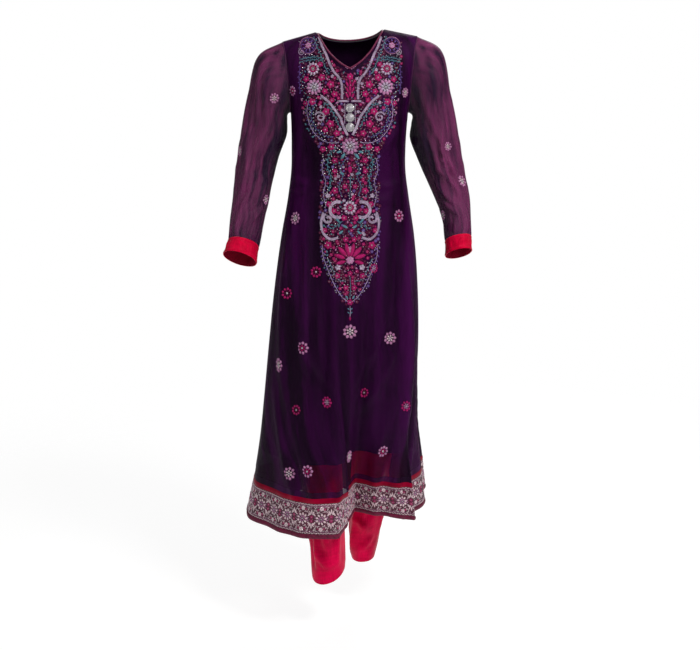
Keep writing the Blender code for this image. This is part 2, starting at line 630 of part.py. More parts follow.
def make_buttons(front, collection):
    """Three domed buttons down the middle of the yoke, each laid on the front panel's own points."""
    middle = front[::-1, int(np.argmin(np.abs(panel_shares("front") - 0.5)))]
    turn = np.linspace(0, np.pi / 2, 6)
    for number in range(3):
        z = FIRST_BUTTON_Z - number * BUTTON_STEP
        reach = z + BUTTON_RADIUS * np.linspace(-1, 1, 9)
        y = np.interp(reach, middle[:, 2], middle[:, 1])
        up = np.array([y[-1] - y[0], reach[-1] - reach[0]])
        up /= np.linalg.norm(up)
        proud = (up[0] * (reach - z) - up[1] * (y - y[4])).max() + SEAM_GAP
        points = [(0.0, 0.0, BUTTON_HEIGHT)]
        points += [(BUTTON_RADIUS * np.cos(t) ** 0.8, 0.0, BUTTON_HEIGHT * (0.25 + 0.75 * np.sin(t)))
                   for t in turn[-2::-1]]
        points += [(BUTTON_RADIUS, 0.0, 0.0), (0.0, 0.0, 0.0)]
        mesh = bpy.data.meshes.new(f"button_{number + 1}")
        mesh.from_pydata(points, [(i, i + 1) for i in range(len(points) - 1)], [])
        part = add_object(f"button_{number + 1}", mesh, "silver", collection)
        spin = part.modifiers.new("turned", "SCREW")
        spin.steps = spin.render_steps = 12
        spin.use_merge_vertices = True
        spin.merge_threshold = 0.0001
        part.rotation_euler = (np.pi / 2 - np.arctan2(up[0], up[1]), 0, 0)
        part.location = (0.0, y[4] - up[1] * proud, z + up[0] * proud)


def main():
    for old in list(bpy.data.objects):
        bpy.data.objects.remove(old)
    collection = bpy.data.collections.new("salwar_kameez")
    bpy.context.scene.collection.children.link(collection)
    make_kameez(collection)
    make_sleeves(collection)
    make_salwar(collection)


main()
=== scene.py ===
"""Looks of the salwar kameez suit: sheer and satin cloth, brocade, thread work and buttons.

Every cloth is a grid of points on the same curves as its solid, finer and creased, with a wall.
Thread work is laid on those grids: each stitch is a small padded shape in the cloth's own plane.
Metres, +Z up; the front faces -Y and the wearer's right arm is on the -X side.
"""

import bmesh
import bpy
import numpy as np
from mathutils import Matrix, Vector


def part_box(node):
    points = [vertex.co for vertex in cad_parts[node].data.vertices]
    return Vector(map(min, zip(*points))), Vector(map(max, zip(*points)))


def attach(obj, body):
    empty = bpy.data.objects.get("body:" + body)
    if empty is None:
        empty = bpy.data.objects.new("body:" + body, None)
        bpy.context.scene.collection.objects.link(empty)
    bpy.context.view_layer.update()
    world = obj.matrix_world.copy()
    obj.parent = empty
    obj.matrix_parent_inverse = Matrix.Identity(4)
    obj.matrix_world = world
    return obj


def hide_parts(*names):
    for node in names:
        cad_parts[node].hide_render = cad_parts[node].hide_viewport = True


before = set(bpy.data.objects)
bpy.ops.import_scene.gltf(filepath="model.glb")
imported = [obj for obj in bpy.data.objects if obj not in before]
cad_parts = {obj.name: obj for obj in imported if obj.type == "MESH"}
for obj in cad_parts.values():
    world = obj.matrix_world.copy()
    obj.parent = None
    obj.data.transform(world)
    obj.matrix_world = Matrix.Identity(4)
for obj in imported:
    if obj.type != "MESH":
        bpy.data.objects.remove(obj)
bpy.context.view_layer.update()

# ---- driving sizes
MM = 0.001
CHIFFON_WALL, LINING_WALL, BAND_WALL, BORDER_WALL = 0.0011, 0.001, 0.0014, 0.0018
CUFF_WALL, SATIN_WALL, WAISTBAND_WALL = 0.0016, 0.0014, 0.003
SEAM_GAP = 0.0004  # between neighbouring pieces along a sewn line
SIDE_SHIFT = 0.0005  # how far front and back panels each stand off the side seams
LINING_INSET = 0.0036  # from the chiffon's face to the lining's face

SECTION_POWER = 0.87  # below 1 makes a section fuller than an ellipse
ARMPIT_Z = -0.192
NECK_HALF_WIDTH = 0.081
SHOULDER_END_X = 0.16
SHOULDER_DROP = 0.019  # how much lower the shoulder seam ends than it starts
SHOULDER_ROUND = {"front": 0.07, "back": 0.058}
SHOULDER_TILT = 0.04  # the left shoulder is carried a little higher than the right
TILT_FROM_Z = -0.2
NECK_DEPTH = {"front": 0.089, "back": 0.022}
ARMHOLE_FADE = 0.05  # height over which the armhole leaves the armpit's own width
DEPTH_FADE = 0.12  # share of the yoke over which its depth leaves the section's

BAND_TOP_Z = -1.102
BAND_HEIGHT, BORDER_HEIGHT, EDGING_HEIGHT = 0.012, 0.075, 0.011
BORDER_TOP_Z = BAND_TOP_Z - BAND_HEIGHT
EDGING_TOP_Z = BORDER_TOP_Z - BORDER_HEIGHT
HEM_Z = EDGING_TOP_Z - EDGING_HEIGHT

# The kameez's half width to the right (-X) and left (+X) and its depth in front and behind, at
# each height: z, right, left, front, back, in millimetres.
KAMEEZ_SECTIONS = MM * np.array((
    (38, 196, 196, 52, 62), (-30, 184, 182, 70, 82), (-80, 170, 168, 86, 98),
    (-130, 156, 153, 104, 104), (-192, 143, 140, 121, 100), (-235, 141, 136, 126, 94),
    (-275, 141, 134, 118, 88), (-327, 142, 134, 105, 84), (-392, 150, 142, 104, 92),
    (-492, 168, 157, 120, 116), (-642, 189, 168, 144, 132), (-772, 203, 170, 166, 140),
    (-902, 216, 166, 188, 150), (-1002, 227, 172, 204, 158), (-1107, 244, 184, 218, 168),
    (-1200, 264, 194, 230, 178)))
# Armhole edge: height and distance from the middle, in millimetres.
ARMHOLE = MM * np.array((
    (-192, 143), (-167, 143), (-122, 145.5), (-77, 150), (-40, 155), (-19, 160)))
# Neck edge from the middle to the shoulder: share of the half width, then of the front's and
# the back's depth.
NECK_CURVE = (
    (1, 0, 0), (0.82, 0.28, 0.44), (0.66, 0.51, 0.68), (0.45, 0.72, 0.87), (0.22, 0.89, 0.97),
    (0, 1, 1),
)
# Skirt folds: angle, half widths before and after it in degrees, depth at the hem and height
# where it starts. A minus depth turns the cloth outwards. Angles run from the right side seam (0)
# over the front (90) to the left side seam (180) and round the back.
FOLDS = (
    (36, 24, 32, 0.023, -0.6), (58, 12, 12, 0.008, -0.46), (116, 11, 12, 0.013, -0.6),
    (139, 10, 10, 0.012, -0.72), (163, 19, 21, 0.05, -0.74), (210, 15, 17, -0.03, -0.74),
    (238, 15, 14, 0.036, -0.48), (268, 13, 15, 0.046, -0.55), (302, 15, 13, 0.034, -0.44),
    (335, 13, 12, 0.022, -0.7),
)
FOLD_GROWTH = 1.3  # how steeply a fold deepens towards the hem
# The right leg is in front, so the left half of the skirt's front is set back: by the table's
# amount where the stride's fold ends, and less and less towards the left side. Rows are height,
# amount, and the angles where the fold starts and ends.
STRIDE = (
    (-0.48, 0, 60, 122), (-0.64, 0.008, 67, 114), (-0.8, 0.034, 76, 104), (-0.95, 0.084, 82, 96),
    (-1.08, 0.146, 84.5, 93.5), (-1.2, 0.196, 85.5, 92.5),
)
STRIDE_GONE = 167.0
# How much the hem rises at each angle.
HEM_LIFT = ((0, 0.002), (60, 0), (92, 0.006), (120, 0.004), (150, 0), (170, 0.006),
            (202, 0.025), (250, 0.01), (300, 0.008), (360, 0.002))

# Rings of a sleeve or cuff: the middle (x outwards, y, z), the half width along the arm's outer
# side and the half depth, in millimetres, then the roll about Y and the pitch in degrees.
RING_UNITS = (MM, MM, MM, MM, MM, 1, 1)
SLEEVE_RINGS = {"right": (
    (182.8, 4, -120.5, 82, 64, 66.5, 0), (199, 6, -177, 58.6, 63, 36.5, 0),
    (208, 9, -233.5, 55.2, 60, 12, 0), (225.5, 11, -300, 50, 56, 8, 3),
    (236.5, 6, -355, 46.5, 52, 9, 9), (243.5, -8, -404, 44, 48, 9, 17),
    (251, -31, -453, 41.5, 45, 10, 25), (257.8, -58, -504, 37.2, 42, 12, 29),
), "left": (
    (181.8, 4, -122, 82.4, 64, 67.3, 0), (196, 6, -185, 59.6, 63, 37, 0),
    (204, 9, -243, 59, 60, 14, 0), (221.5, 9, -305, 53, 56, 10, 3),
    (237.5, 2, -356, 46.5, 52, 9, 8), (253, -12, -405, 40.5, 49, 8, 15),
    (260, -32, -451, 34.5, 46, 8, 21), (262.7, -50, -493, 32, 43, 9, 23),
)}
CUFF_RINGS = {"right": (
    (257.9, -58.3, -504.6, 37.5, 42.2, 12, 29), (266, -77, -538.5, 41.5, 47, 14, 29),
), "left": (
    (262.7, -50.2, -493.6, 32.2, 43.2, 9, 23), (263.2, -64.5, -527.5, 32.5, 45, 10, 23),
)}
# Sleeve folds: angle, half width, depth, start, end and drift. Angles run from the outer side
# (0) over the front (90) to the underarm (180), drift turns the fold as it comes down, and start
# and end are shares of the sleeve's length.
SLEEVE_FOLDS = {"right": (
    (62, 24, 0.005, 0.08, 0.78, 26), (118, 26, 0.006, 0.16, 0.92, -22),
    (232, 26, 0.0055, 0.12, 0.84, 18), (300, 24, 0.0045, 0.2, 0.9, -16),
), "left": (
    (48, 24, 0.005, 0.1, 0.84, 22), (92, 22, 0.006, 0.12, 0.9, -14),
    (150, 26, 0.005, 0.2, 0.8, -18), (246, 26, 0.006, 0.14, 0.88, 16),
    (312, 24, 0.0045, 0.24, 0.92, -18),
)}

# Salwar: the seat's height, half width and depths in front and behind, in millimetres, then each
# leg's rings, as a sleeve's but with the height first.
SALWAR_TOP_Z = -0.387
WAISTBAND_HEIGHT = 0.034
CROTCH_FROM_Z, CROTCH_TO_Z = -0.567, -0.717
SEAT = MM * np.array((
    (-342, 126, 98.3, 80), (-402, 132, 98.5, 87.5), (-502, 145, 104, 103), (-602, 152, 108, 109),
    (-742, 154, 108, 110)))
LEG_RINGS = {"right": (
    (-542, 80, 0, 78, 100, 0, 0), (-717, 83, -4, 78, 96, 0, 0), (-832, 86, -22, 70, 84, 0, 0),
    (-982, 81, -46, 58, 70, 0, 0), (-1132, 68, -74, 49, 60, -4, -4),
    (-1232, 58, -90, 44, 54, -9, -12), (-1323, 53.8, -100, 43.5, 50, -17, -24),
), "left": (
    (-542, 78, 0, 74, 100, 0, 0), (-717, 78, 0, 73, 96, 0, 0), (-832, 77, 12, 66, 82, 0, 0),
    (-982, 66, 30, 56, 68, 0, 0), (-1132, 51, 48, 48, 58, 2, -2), (-1232, 40, 55, 45, 54, 4, -3),
    (-1300, 32.5, 56, 42.5, 52, 6, -5), (-1340, 35, 54, 31, 50, 6, -6),
)}
PIPING_RADIUS = 0.002

# Grid rows and columns. A panel's columns are counted from side seam to neck end, to the middle,
# to the other neck end and to the other side seam.
NECK_SHARE = 0.36
PANEL_COLUMNS = {"front": (34, 26, 32, 34), "back": (32, 24, 24, 32)}
PANEL_MIDDLE = {side: sum(counts[:2]) for side, counts in PANEL_COLUMNS.items()}
YOKE_ROWS = {"front": 56, "back": 54}
SKIRT_ROWS, BAND_ROWS, BORDER_ROWS, EDGING_ROWS = 184, 4, 18, 6
LINING_HEM_Z = -1.017
SLEEVE_AROUND, SLEEVE_ALONG = 72, 128
CUFF_ROWS = 14
LEG_AROUND, LEG_ALONG = 64, 128
WAISTBAND_AROUND = 160

SIDES = {"right": -1.0, "left": 1.0}
FACING = {"front": 1, "back": -1}
UPRIGHT = np.array([0.0, 0.0, 1.0])


# ---- small tools
def smooth(at, knots, values):
    """Cubic Hermite curve through (knots, values), read at any points; it is flat outside them."""
    order = np.argsort(knots)
    knots, values = np.asarray(knots, float)[order], np.asarray(values, float)[order]
    slopes = np.gradient(values, knots, axis=0)
    at = np.clip(at, knots[0], knots[-1])
    i = np.clip(np.searchsorted(knots, at) - 1, 0, len(knots) - 2)
    step = knots[i + 1] - knots[i]
    t = (at - knots[i]) / step
    shape = t.shape + (1,) * (values.ndim - 1)
    t, step = t.reshape(shape), step.reshape(shape)
    return ((1 + 2 * t) * (1 - t) ** 2 * values[i] + t * (1 - t) ** 2 * step * slopes[i]
            + t * t * (3 - 2 * t) * values[i + 1] - t * t * (1 - t) * step * slopes[i + 1])


def read_at(at, table):
    """Every column of a table after its first, read along the first by a smooth curve."""
    first, *others = np.array(table, float).T
    return [smooth(at, first, values) for values in others]


def travelled(path):
    """Distance along a path, or a row of paths, from the first point to each of its points."""
    steps = np.linalg.norm(np.diff(path, axis=0), axis=-1)
    return np.concatenate([0 * steps[:1], np.cumsum(steps, axis=0)])


def unit(vectors):
    return vectors / np.linalg.norm(vectors, axis=-1, keepdims=True)


def turns(count):
    """Angles of spots evenly round a ring."""
    return 2 * np.pi * np.arange(count) / count


def evenly(length, count):
    """Middles of a length's equal parts."""
    return (np.arange(count) + 0.5) * length / count


def ramp(t):
    """Smooth step from 0 to 1."""
    t = np.clip(t, 0.0, 1.0)
    return t * t * (3 - 2 * t)


def bump(offset, before, after):
    """A soft hump of height 1 at offset 0 that is 0 past its two half widths."""
    width = np.where(offset < 0, before, after)
    return 0.5 * (1 + np.cos(np.pi * np.clip(offset / width, -1, 1)))


def around_from(offset, whole=360.0):
    """An offset round a ring, taken the short way."""
    return (offset + whole / 2) % whole - whole / 2


def full(part):
    """A sine or cosine drawn out by the section's power, its sign kept."""
    return np.sign(part) * np.abs(part) ** SECTION_POWER


def oval(turn, first, second, ahead, behind, z):
    """A full oval section: x = -half width * cosine and y = -depth * sine, each drawn out.

    Its half width is first where the cosine is positive and second elsewhere, and its depth is
    ahead or behind by the sine.
    """
    across, forward = np.cos(turn), np.sin(turn)
    return (-np.where(across > 0, first, second) * full(across),
            -np.where(forward > 0, ahead, behind) * full(forward), z + 0 * turn)


# ---- the kameez's surface
def section_at(z):
    """Half widths (right, left) and depths (front, back) of the kameez at height z."""
    return read_at(z, KAMEEZ_SECTIONS)


def skirt_point(angle, z):
    """Kameez below the armpits: a full oval section, less the stride's set-back and the folds."""
    right, left, front, back = section_at(z)
    turn = np.radians(angle)
    x, y, _ = oval(turn, right, left, front, back, z)
    set_back, fold_from, fold_to = read_at(z, STRIDE)
    stepped = ramp((angle - fold_from) / (fold_to - fold_from))
    left_over = np.clip((STRIDE_GONE - angle) / (STRIDE_GONE - fold_to), 0, 1)
    y = y + set_back * stepped * left_over
    across, ahead = np.cos(turn), np.sin(turn)
    inward = unit(np.stack([across / np.where(across > 0, right, left),
                            ahead / np.where(ahead > 0, front, back)], -1))
    for centre, before, after, depth_at_hem, top_z in FOLDS:
        deep = depth_at_hem * np.clip((top_z - z) / (top_z - HEM_Z), 0, None) ** FOLD_GROWTH
        push = deep * bump(around_from(angle - centre), before, after)
        x = x + push * inward[..., 0]
        y = y + push * inward[..., 1]
    rise = np.clip((ARMPIT_Z - z) / (ARMPIT_Z - HEM_Z), 0, None) ** 2
    return np.stack([x, y, z + read_at(angle % 360.0, HEM_LIFT)[0] * rise], -1)


def shoulder_z(x):
    """Height of the shoulder seam's line at x."""
    out = np.clip((np.abs(x) - NECK_HALF_WIDTH) / (SHOULDER_END_X - NECK_HALF_WIDTH), 0, None)
    return -SHOULDER_DROP * out


def yoke_depth(x, z, side):
    """How far the cloth above the armpits stands out from the shoulder seams' plane."""
    right, left, front, back = section_at(z)
    share = np.clip(np.abs(x) / np.where(x < 0, right, left), 0, 1)
    arch = np.clip(1 - share ** (2 / SECTION_POWER), 0, 1) ** (SECTION_POWER / 2)
    over = np.clip((shoulder_z(x) - z) / SHOULDER_ROUND[side], 0, 1)
    return (front if side == "front" else back) * arch * np.sqrt(1 - (1 - over) ** 2)


def armhole_x(z, hand):
    """Distance of the armhole's edge from the middle, at height z, on the right or left hand."""
    at_armpit = section_at(np.array(ARMPIT_Z))[list(SIDES).index(hand)]
    fade = ramp((z - ARMPIT_Z) / ARMHOLE_FADE)
    return read_at(z, ARMHOLE)[0] + (at_armpit - ARMHOLE[0, 1]) * (1 - fade)


def yoke_point(share, rise, side):
    """Kameez from the armpits to the shoulder seams and neck edge.

    share runs across from the right armhole (0) to the left (1), rise from the armpits (0) up (1).
    The outline is blended from its four edges, and then laid on the depth of the figure.
    """
    angle = np.pi * share
    right, left, front, back = section_at(np.array(ARMPIT_Z))
    base = np.stack(oval(angle, right, left, front, back, ARMPIT_Z)[::2], -1)

    out = np.abs(share - 0.5) * 2
    neck_t = np.clip(out / NECK_SHARE, 0, 1)
    neck_drop = read_at(neck_t, NECK_CURVE)[0 if side == "front" else 1]
    seam_t = np.clip((out - NECK_SHARE) / (1 - NECK_SHARE), 0, 1)
    on_neck = out <= NECK_SHARE
    top_x = np.where(on_neck, NECK_HALF_WIDTH * neck_t,
                     NECK_HALF_WIDTH + (SHOULDER_END_X - NECK_HALF_WIDTH) * seam_t)
    top_z = np.where(on_neck, -NECK_DEPTH[side] * neck_drop, shoulder_z(top_x))
    top = np.stack([np.sign(share - 0.5) * top_x, top_z], -1)

    edge_z = ARMPIT_Z + (-SHOULDER_DROP - ARMPIT_Z) * rise
    edges = [np.stack([sign * armhole_x(edge_z, hand), edge_z], -1) for hand, sign in SIDES.items()]
    s, r = share[..., None], rise[..., None]
    corner = np.array([[-right, ARMPIT_Z], [left, ARMPIT_Z],
                       [-SHOULDER_END_X, -SHOULDER_DROP], [SHOULDER_END_X, -SHOULDER_DROP]])
    flat = ((1 - r) * base + r * top + (1 - s) * edges[0] + s * edges[1]
            - (1 - s) * (1 - r) * corner[0] - s * (1 - r) * corner[1]
            - (1 - s) * r * corner[2] - s * r * corner[3])
    x, z = flat[..., 0], flat[..., 1]
    # At the armpits the depth comes from the section's own angle, which is exact at the seams.
    exact = np.sin(angle) ** SECTION_POWER * (front if side == "front" else back)
    near = 1 - ramp(rise / DEPTH_FADE)
    depth = near * exact + (1 - near) * yoke_depth(x, z, side)
    return np.stack([x, -FACING[side] * depth, z], -1)


def leaned(points):
    """Raises the left shoulder a little over the right one; nothing below the armpits moves."""
    points = points.copy()
    lift = ramp((points[..., 2] - TILT_FROM_Z) / -TILT_FROM_Z)
    points[..., 2] += SHOULDER_TILT * points[..., 0] * lift
    return points


def side_angles(shares, side):
    """Section angles of a panel's columns: the back runs the other way round the section."""
    return 180 * shares if side == "front" else 360 - 180 * shares


def panel_shares(side):
    """Grid columns across a panel, spread evenly along its hem and its bust line together."""
    fine = np.linspace(0, 1, 1441)
    travel = sum(travelled(skirt_point(side_angles(fine, side), np.full_like(fine, z)))
                 for z in (HEM_Z, ARMPIT_Z))
    ends = (0.0, 0.5 - NECK_SHARE / 2, 0.5, 0.5 + NECK_SHARE / 2, 1.0)
    shares = [0.0]
    for low, high, count in zip(ends[:-1], ends[1:], PANEL_COLUMNS[side]):
        low_at, high_at = np.interp((low, high), fine, travel)
        shares += list(np.interp(np.linspace(low_at, high_at, count + 1)[1:], travel, fine))
    return np.array(shares)


def panel_grid(side, skirt_z):
    """Points of a panel: the yoke's rows, then rows down the skirt at the given heights.

    The yoke's rows are closer together where the cloth turns over the shoulder.
    """
    shares = panel_shares(side)
    t = np.linspace(0, 1, YOKE_ROWS[side] + 1)[:0:-1]
    s, r = np.meshgrid(shares, 1 - (1 - t) ** 1.75)
    angle, z = np.meshgrid(side_angles(shares, side), skirt_z)
    grid = np.concatenate([leaned(yoke_point(s, r, side)), skirt_point(angle, z)])
    grid[..., 1] -= FACING[side] * SIDE_SHIFT
    return grid


# ---- tubes: sleeves and legs
def tilted_ring(around, x, y, z, half_width, half_depth, roll, pitch):
    """An ellipse round (x, y, z), rolled about Y and pitched forwards by degrees; x is outwards."""
    roll, pitch = np.radians(roll), np.radians(pitch)
    out, ahead = half_width * np.cos(around), half_depth * np.sin(around)
    return np.stack([x + out * np.cos(roll), y - ahead * np.cos(pitch),
                     z + out * np.sin(roll) + ahead * np.sin(pitch)], -1)


def arm_rings(rows, side, around):
    """Points of each ring of a sleeve's or cuff's table."""
    points = tilted_ring(around, *(np.array(rows) * RING_UNITS).T[..., None])
    return points * np.array([SIDES[side], 1.0, 1.0])


def armhole_ring(side, around):
    """The armhole's edge as a ring, from the shoulder's end over the front to the armpit."""
    z = ARMPIT_Z + (-SHOULDER_DROP - ARMPIT_Z) * (1 + np.cos(around)) / 2
    x = SIDES[side] * armhole_x(z, side)
    y = np.where(np.sin(around) >= 0, -yoke_depth(x, z, "front"), yoke_depth(x, z, "back"))
    return np.stack([x + SIDES[side] * 2 * SEAM_GAP, y, z], -1)


def sleeve_grid(side, along, around):
    """Points of a sleeve: a smooth curve through each ring's points, turned in by its folds."""
    rings = np.concatenate([armhole_ring(side, around)[None],
                            arm_rings(SLEEVE_RINGS[side], side, around)])
    travel = travelled(rings.mean(axis=1))
    grid = smooth(along * travel[-1], travel, rings)
    inward = unit(grid.mean(axis=1, keepdims=True) - grid)
    degrees, share = np.degrees(around), along[:, None]
    for angle, width, depth, start, end, drift in SLEEVE_FOLDS[side]:
        t = np.clip((share - start) / (end - start), 0, 1)
        strength = np.where((t > 0) & (t < 1), np.sin(np.pi * t) ** 0.8, 0.0)
        offset = around_from(degrees - angle - drift * (share - start))
        grid = grid + (depth * strength * bump(offset, width, width))[..., None] * inward
    return leaned(grid)


def seat_oval(turn, z):
    """The salwar's seat at an angle round it and a height, as the kameez's sections are."""
    half, front, back = read_at(z, SEAT)
    return np.stack(oval(turn, half, half, front, back, z), -1)


def leg_grid(side, heights, count):
    """A salwar leg cut as one piece, from its front edge round the outer side to the back one.

    The seat's half oval is blended into the leg's ring. Above the crotch the edges are the
    centre seams; below it they meet along the inside leg.
    """
    z = heights[:, None]
    share = np.linspace(0, 1, count + 1)[None, :]
    seat = seat_oval(np.pi * (0.5 + share), z)
    x, y, *shape = read_at(z, np.array(LEG_RINGS[side]) * RING_UNITS)
    leg = tilted_ring(-np.pi * (1 + 2 * share), x, y, z, *shape)
    parted = ramp((CROTCH_FROM_Z - z) / (CROTCH_FROM_Z - CROTCH_TO_Z))[..., None]
    grid = (1 - parted) * seat + parted * leg
    # Both edges stand off the seam that they are sewn in.
    grid[:, 0, 1] -= SEAM_GAP * parted[:, 0, 0]
    grid[:, -1, 1] += SEAM_GAP * parted[:, 0, 0]
    grid[..., 0] = SIDES[side] * np.maximum(grid[..., 0], SEAM_GAP)
    return grid


# ---- shader nodes
class Wire:
    """A shader node's output. Arithmetic on it, with numbers or other wires, adds Math nodes."""

    def __init__(self, tree, socket):
        self.tree, self.socket = tree, socket

    def math(self, operation, *values):
        return node(self.tree, "ShaderNodeMath", {"operation": operation}, dict(enumerate(values)))

    def __add__(self, other):
        return self.math("ADD", self, other)

    def __sub__(self, other):
        return self.math("SUBTRACT", self, other)

    def __rsub__(self, other):
        return self.math("SUBTRACT", other, self)

    def __mul__(self, other):
        return self.math("MULTIPLY", self, other)

    __radd__, __rmul__ = __add__, __mul__

    def axis(self, number):
        """X, Y or Z of a place."""
        return node(self.tree, "ShaderNodeSeparateXYZ", sockets={0: self}, output=number)


def node(tree, kind, settings=(), sockets=(), output=0):
    """Adds one node: its settings first, and then the values or wires of its sockets."""
    made = tree.nodes.new(kind)
    for name, value in dict(settings).items():
        setattr(made, name, value)
    for key, value in dict(sockets).items():
        if isinstance(value, Wire):
            tree.links.new(value.socket, made.inputs[key])
        else:
            made.inputs[key].default_value = value
    return Wire(tree, made.outputs[output])


def mixed(share, first, second):
    """One colour where share is 0 and the other where it is 1."""
    first, second = (c if isinstance(c, Wire) else (*c, 1.0) for c in (first, second))
    return node(share.tree, "ShaderNodeMix", {"data_type": "RGBA", "clamp_factor": True},
                {0: share, 6: first, 7: second}, output=2)


def noise(where, scale, detail=2.0, rough=0.5):
    return node(where.tree, "ShaderNodeTexNoise", sockets={
        "Vector": where, "Scale": scale, "Detail": detail, "Roughness": rough})


def bands(where, direction, period, warp=0.0):
    """Stripes from 0 to 1 along X or Y of a place in metres, one for each period."""
    return node(where.tree, "ShaderNodeTexWave", {"bands_direction": direction}, {
        "Vector": where, "Scale": 0.314159 / period, "Distortion": warp, "Detail": 1.0}, output=1)


def stretched(where, x=1.0, y=1.0, z=1.0, turn=0.0):
    """A place scaled along its axes, and turned, for a pattern that runs along one way."""
    return node(where.tree, "ShaderNodeMapping", sockets={
        "Vector": where, "Scale": (x, y, z), "Rotation": (0.0, 0.0, turn)})


def turned_out(place, angle):
    """A place turned about the front-to-back line, on both sides of the middle alike."""
    x, y, z = (place.axis(number) for number in range(3))
    away = x.math("ABSOLUTE", x)
    cosine, sine = float(np.cos(angle)), float(np.sin(angle))
    return node(place.tree, "ShaderNodeCombineXYZ", sockets={
        0: away * cosine + z * sine, 1: y, 2: z * cosine - away * sine})


def clamped(wire, low=0.0, high=1.0):
    """0 below low, 1 above high and a straight slope between."""
    return node(wire.tree, "ShaderNodeMapRange", {"clamp": True}, {
        "Value": wire, "From Min": low, "From Max": high})


class Finish:
    """A Principled material in the making. Constants go on the shader's own sockets.

    flat is the piece's own UV map, in metres across and up the cloth, and place its Object
    coordinates.
    """

    def __init__(self, name, **constants):
        self.material = bpy.data.materials.new(name)
        self.material.use_nodes = True
        tree = self.material.node_tree
        self.shader = tree.nodes["Principled BSDF"]
        for socket, value in constants.items():
            self.put(socket.replace("_", " "), value)
        self.flat = node(tree, "ShaderNodeUVMap", {"uv_map": "cloth"})
        self.place = node(tree, "ShaderNodeTexCoord", output=3)

    def put(self, name, value):
        socket = self.shader.inputs[name]
        if isinstance(value, Wire):
            value.tree.links.new(value.socket, socket)
        elif isinstance(value, tuple):
            socket.default_value = (*value, 1.0)
        else:
            socket.default_value = value

    def done(self, colour, roughness, height, depth, strength):
        """Colour, roughness and a bump of a height from 0 to 1 that is depth metres deep."""
        self.put("Base Color", colour)
        self.put("Roughness", roughness)
        self.put("Normal", node(height.tree, "ShaderNodeBump", sockets={
            "Strength": strength, "Distance": depth, "Height": height}))
        return self.material


def weave(flat, thread):
    """Plain weave's height: raised where the warp crosses over, sunk between the threads."""
    return bands(flat, "X", thread) * bands(flat, "Y", thread)


# Where a chiffon's streaks change and where it gets painted shade: slopes from 0 to 1 between two
# distances, in metres.
SLEEVE_CAP = (0.06, 0.2)  # down a sleeve: from leaning streaks to pleats
PAINTED_SHADE_SLEEVE_INSIDE = ((0.088, 0.156), (0.215, 0.285))  # round a sleeve: where its inner side lies, which gets painted shade
PAINTED_SHADE_NEAR_ARMHOLE = (0.158 ** 2, 0.194 ** 2)  # painted shade near the armhole: squared, out from the suit's middle
PAINTED_SHADE_RIGHT_LOW = ((0.095, 0.15), (0.56, 0.72))  # painted shade on the front's lower right: out to the right, and down the front panel


def chiffon(name, dark, light, cover, uneven, crinkle, folds, contrast, doubled_and_shade=None, lean=None):
    """Sheer crepe: a fine weave, crinkled along its length, with uneven cover and soft streaks.

    folds is how many streaks lie across one metre, and contrast how hard they turn.
    doubled_and_shade is how far right and left of the middle it lies in two layers in its side
    folds, and how far down its turned-up seam starts; when given, the front's lower right also gets
    painted shade. lean is how far a sleeve's streaks turn out from upright, in radians; when given,
    the sleeve also gets painted shade along its inner side and near the armhole. Without lean the
    streaks run down the cloth.
    """
    made = Finish(name, Specular_IOR_Level=0.1)
    flat, place = made.flat, made.place
    slub = noise(stretched(flat, y=0.16), 150.0, 3.0)
    cloud = noise(place, 9.0, 3.0)
    streak = noise(stretched(flat, y=0.07, turn=0.04), folds, 3.0, 0.55)
    if lean is not None:
        leaning = stretched(turned_out(place, lean), z=0.045)
        at_cap = clamped(0.0 - flat.axis(1), *SLEEVE_CAP)
        pleats = noise(stretched(flat, y=0.05, turn=0.04), 2.6 * folds)
        streak = 0.7 * streak + 0.3 * pleats
        streak = at_cap * streak + (1.0 - at_cap) * noise(leaning, folds, 1.5, 0.4)
    fine = noise(stretched(flat, y=0.45, turn=0.06), 760.0, 3.0, 0.65)
    grid = weave(flat, 0.00062)
    tone = slub * 0.15 + cloud * 0.16 + streak * 0.65 + grid * 0.08
    share = clamped(tone, 0.5 - contrast, 0.5 + contrast)
    if lean is not None:
        round_it, x = flat.axis(0), place.axis(0)
        starts, ends = (clamped(round_it, *slope) for slope in PAINTED_SHADE_SLEEVE_INSIDE)
        # Painted shade along the sleeve's inner side, towards the body.
        share = share - 0.46 * (starts - ends)
        # Painted shade on the sleeve's cap, darker near the armhole where it meets the body.
        share = share - 0.4 * (1.0 - clamped(x * x, *PAINTED_SHADE_NEAR_ARMHOLE))
    alpha = cover + uneven * (slub - 0.5) - uneven * (streak - 0.5)
    if doubled_and_shade:
        right, left, seam = doubled_and_shade
        x, below = place.axis(0), 0.0 - flat.axis(1)
        # Painted shade: the front's lower right is darkened. The alpha added below is the real
        # extra cloth of the side folds and seam.
        share = share - 0.36 * clamped(0.0 - x, *PAINTED_SHADE_RIGHT_LOW[0]) * clamped(below, *PAINTED_SHADE_RIGHT_LOW[1])
        alpha = alpha + 0.45 * clamped(0.0 - x, right, right + 0.014)
        alpha = alpha + 0.45 * clamped(x, left, left + 0.03)
        alpha = alpha + 0.4 * clamped(below, seam, seam + 0.001)
    made.put("Alpha", clamped(alpha))
    return made.done(mixed(share, dark, light), 0.5 + 0.22 * cloud,
                     0.36 * slub + 0.04 * fine + 0.01 * grid + 0.6 * streak, crinkle, 0.8)


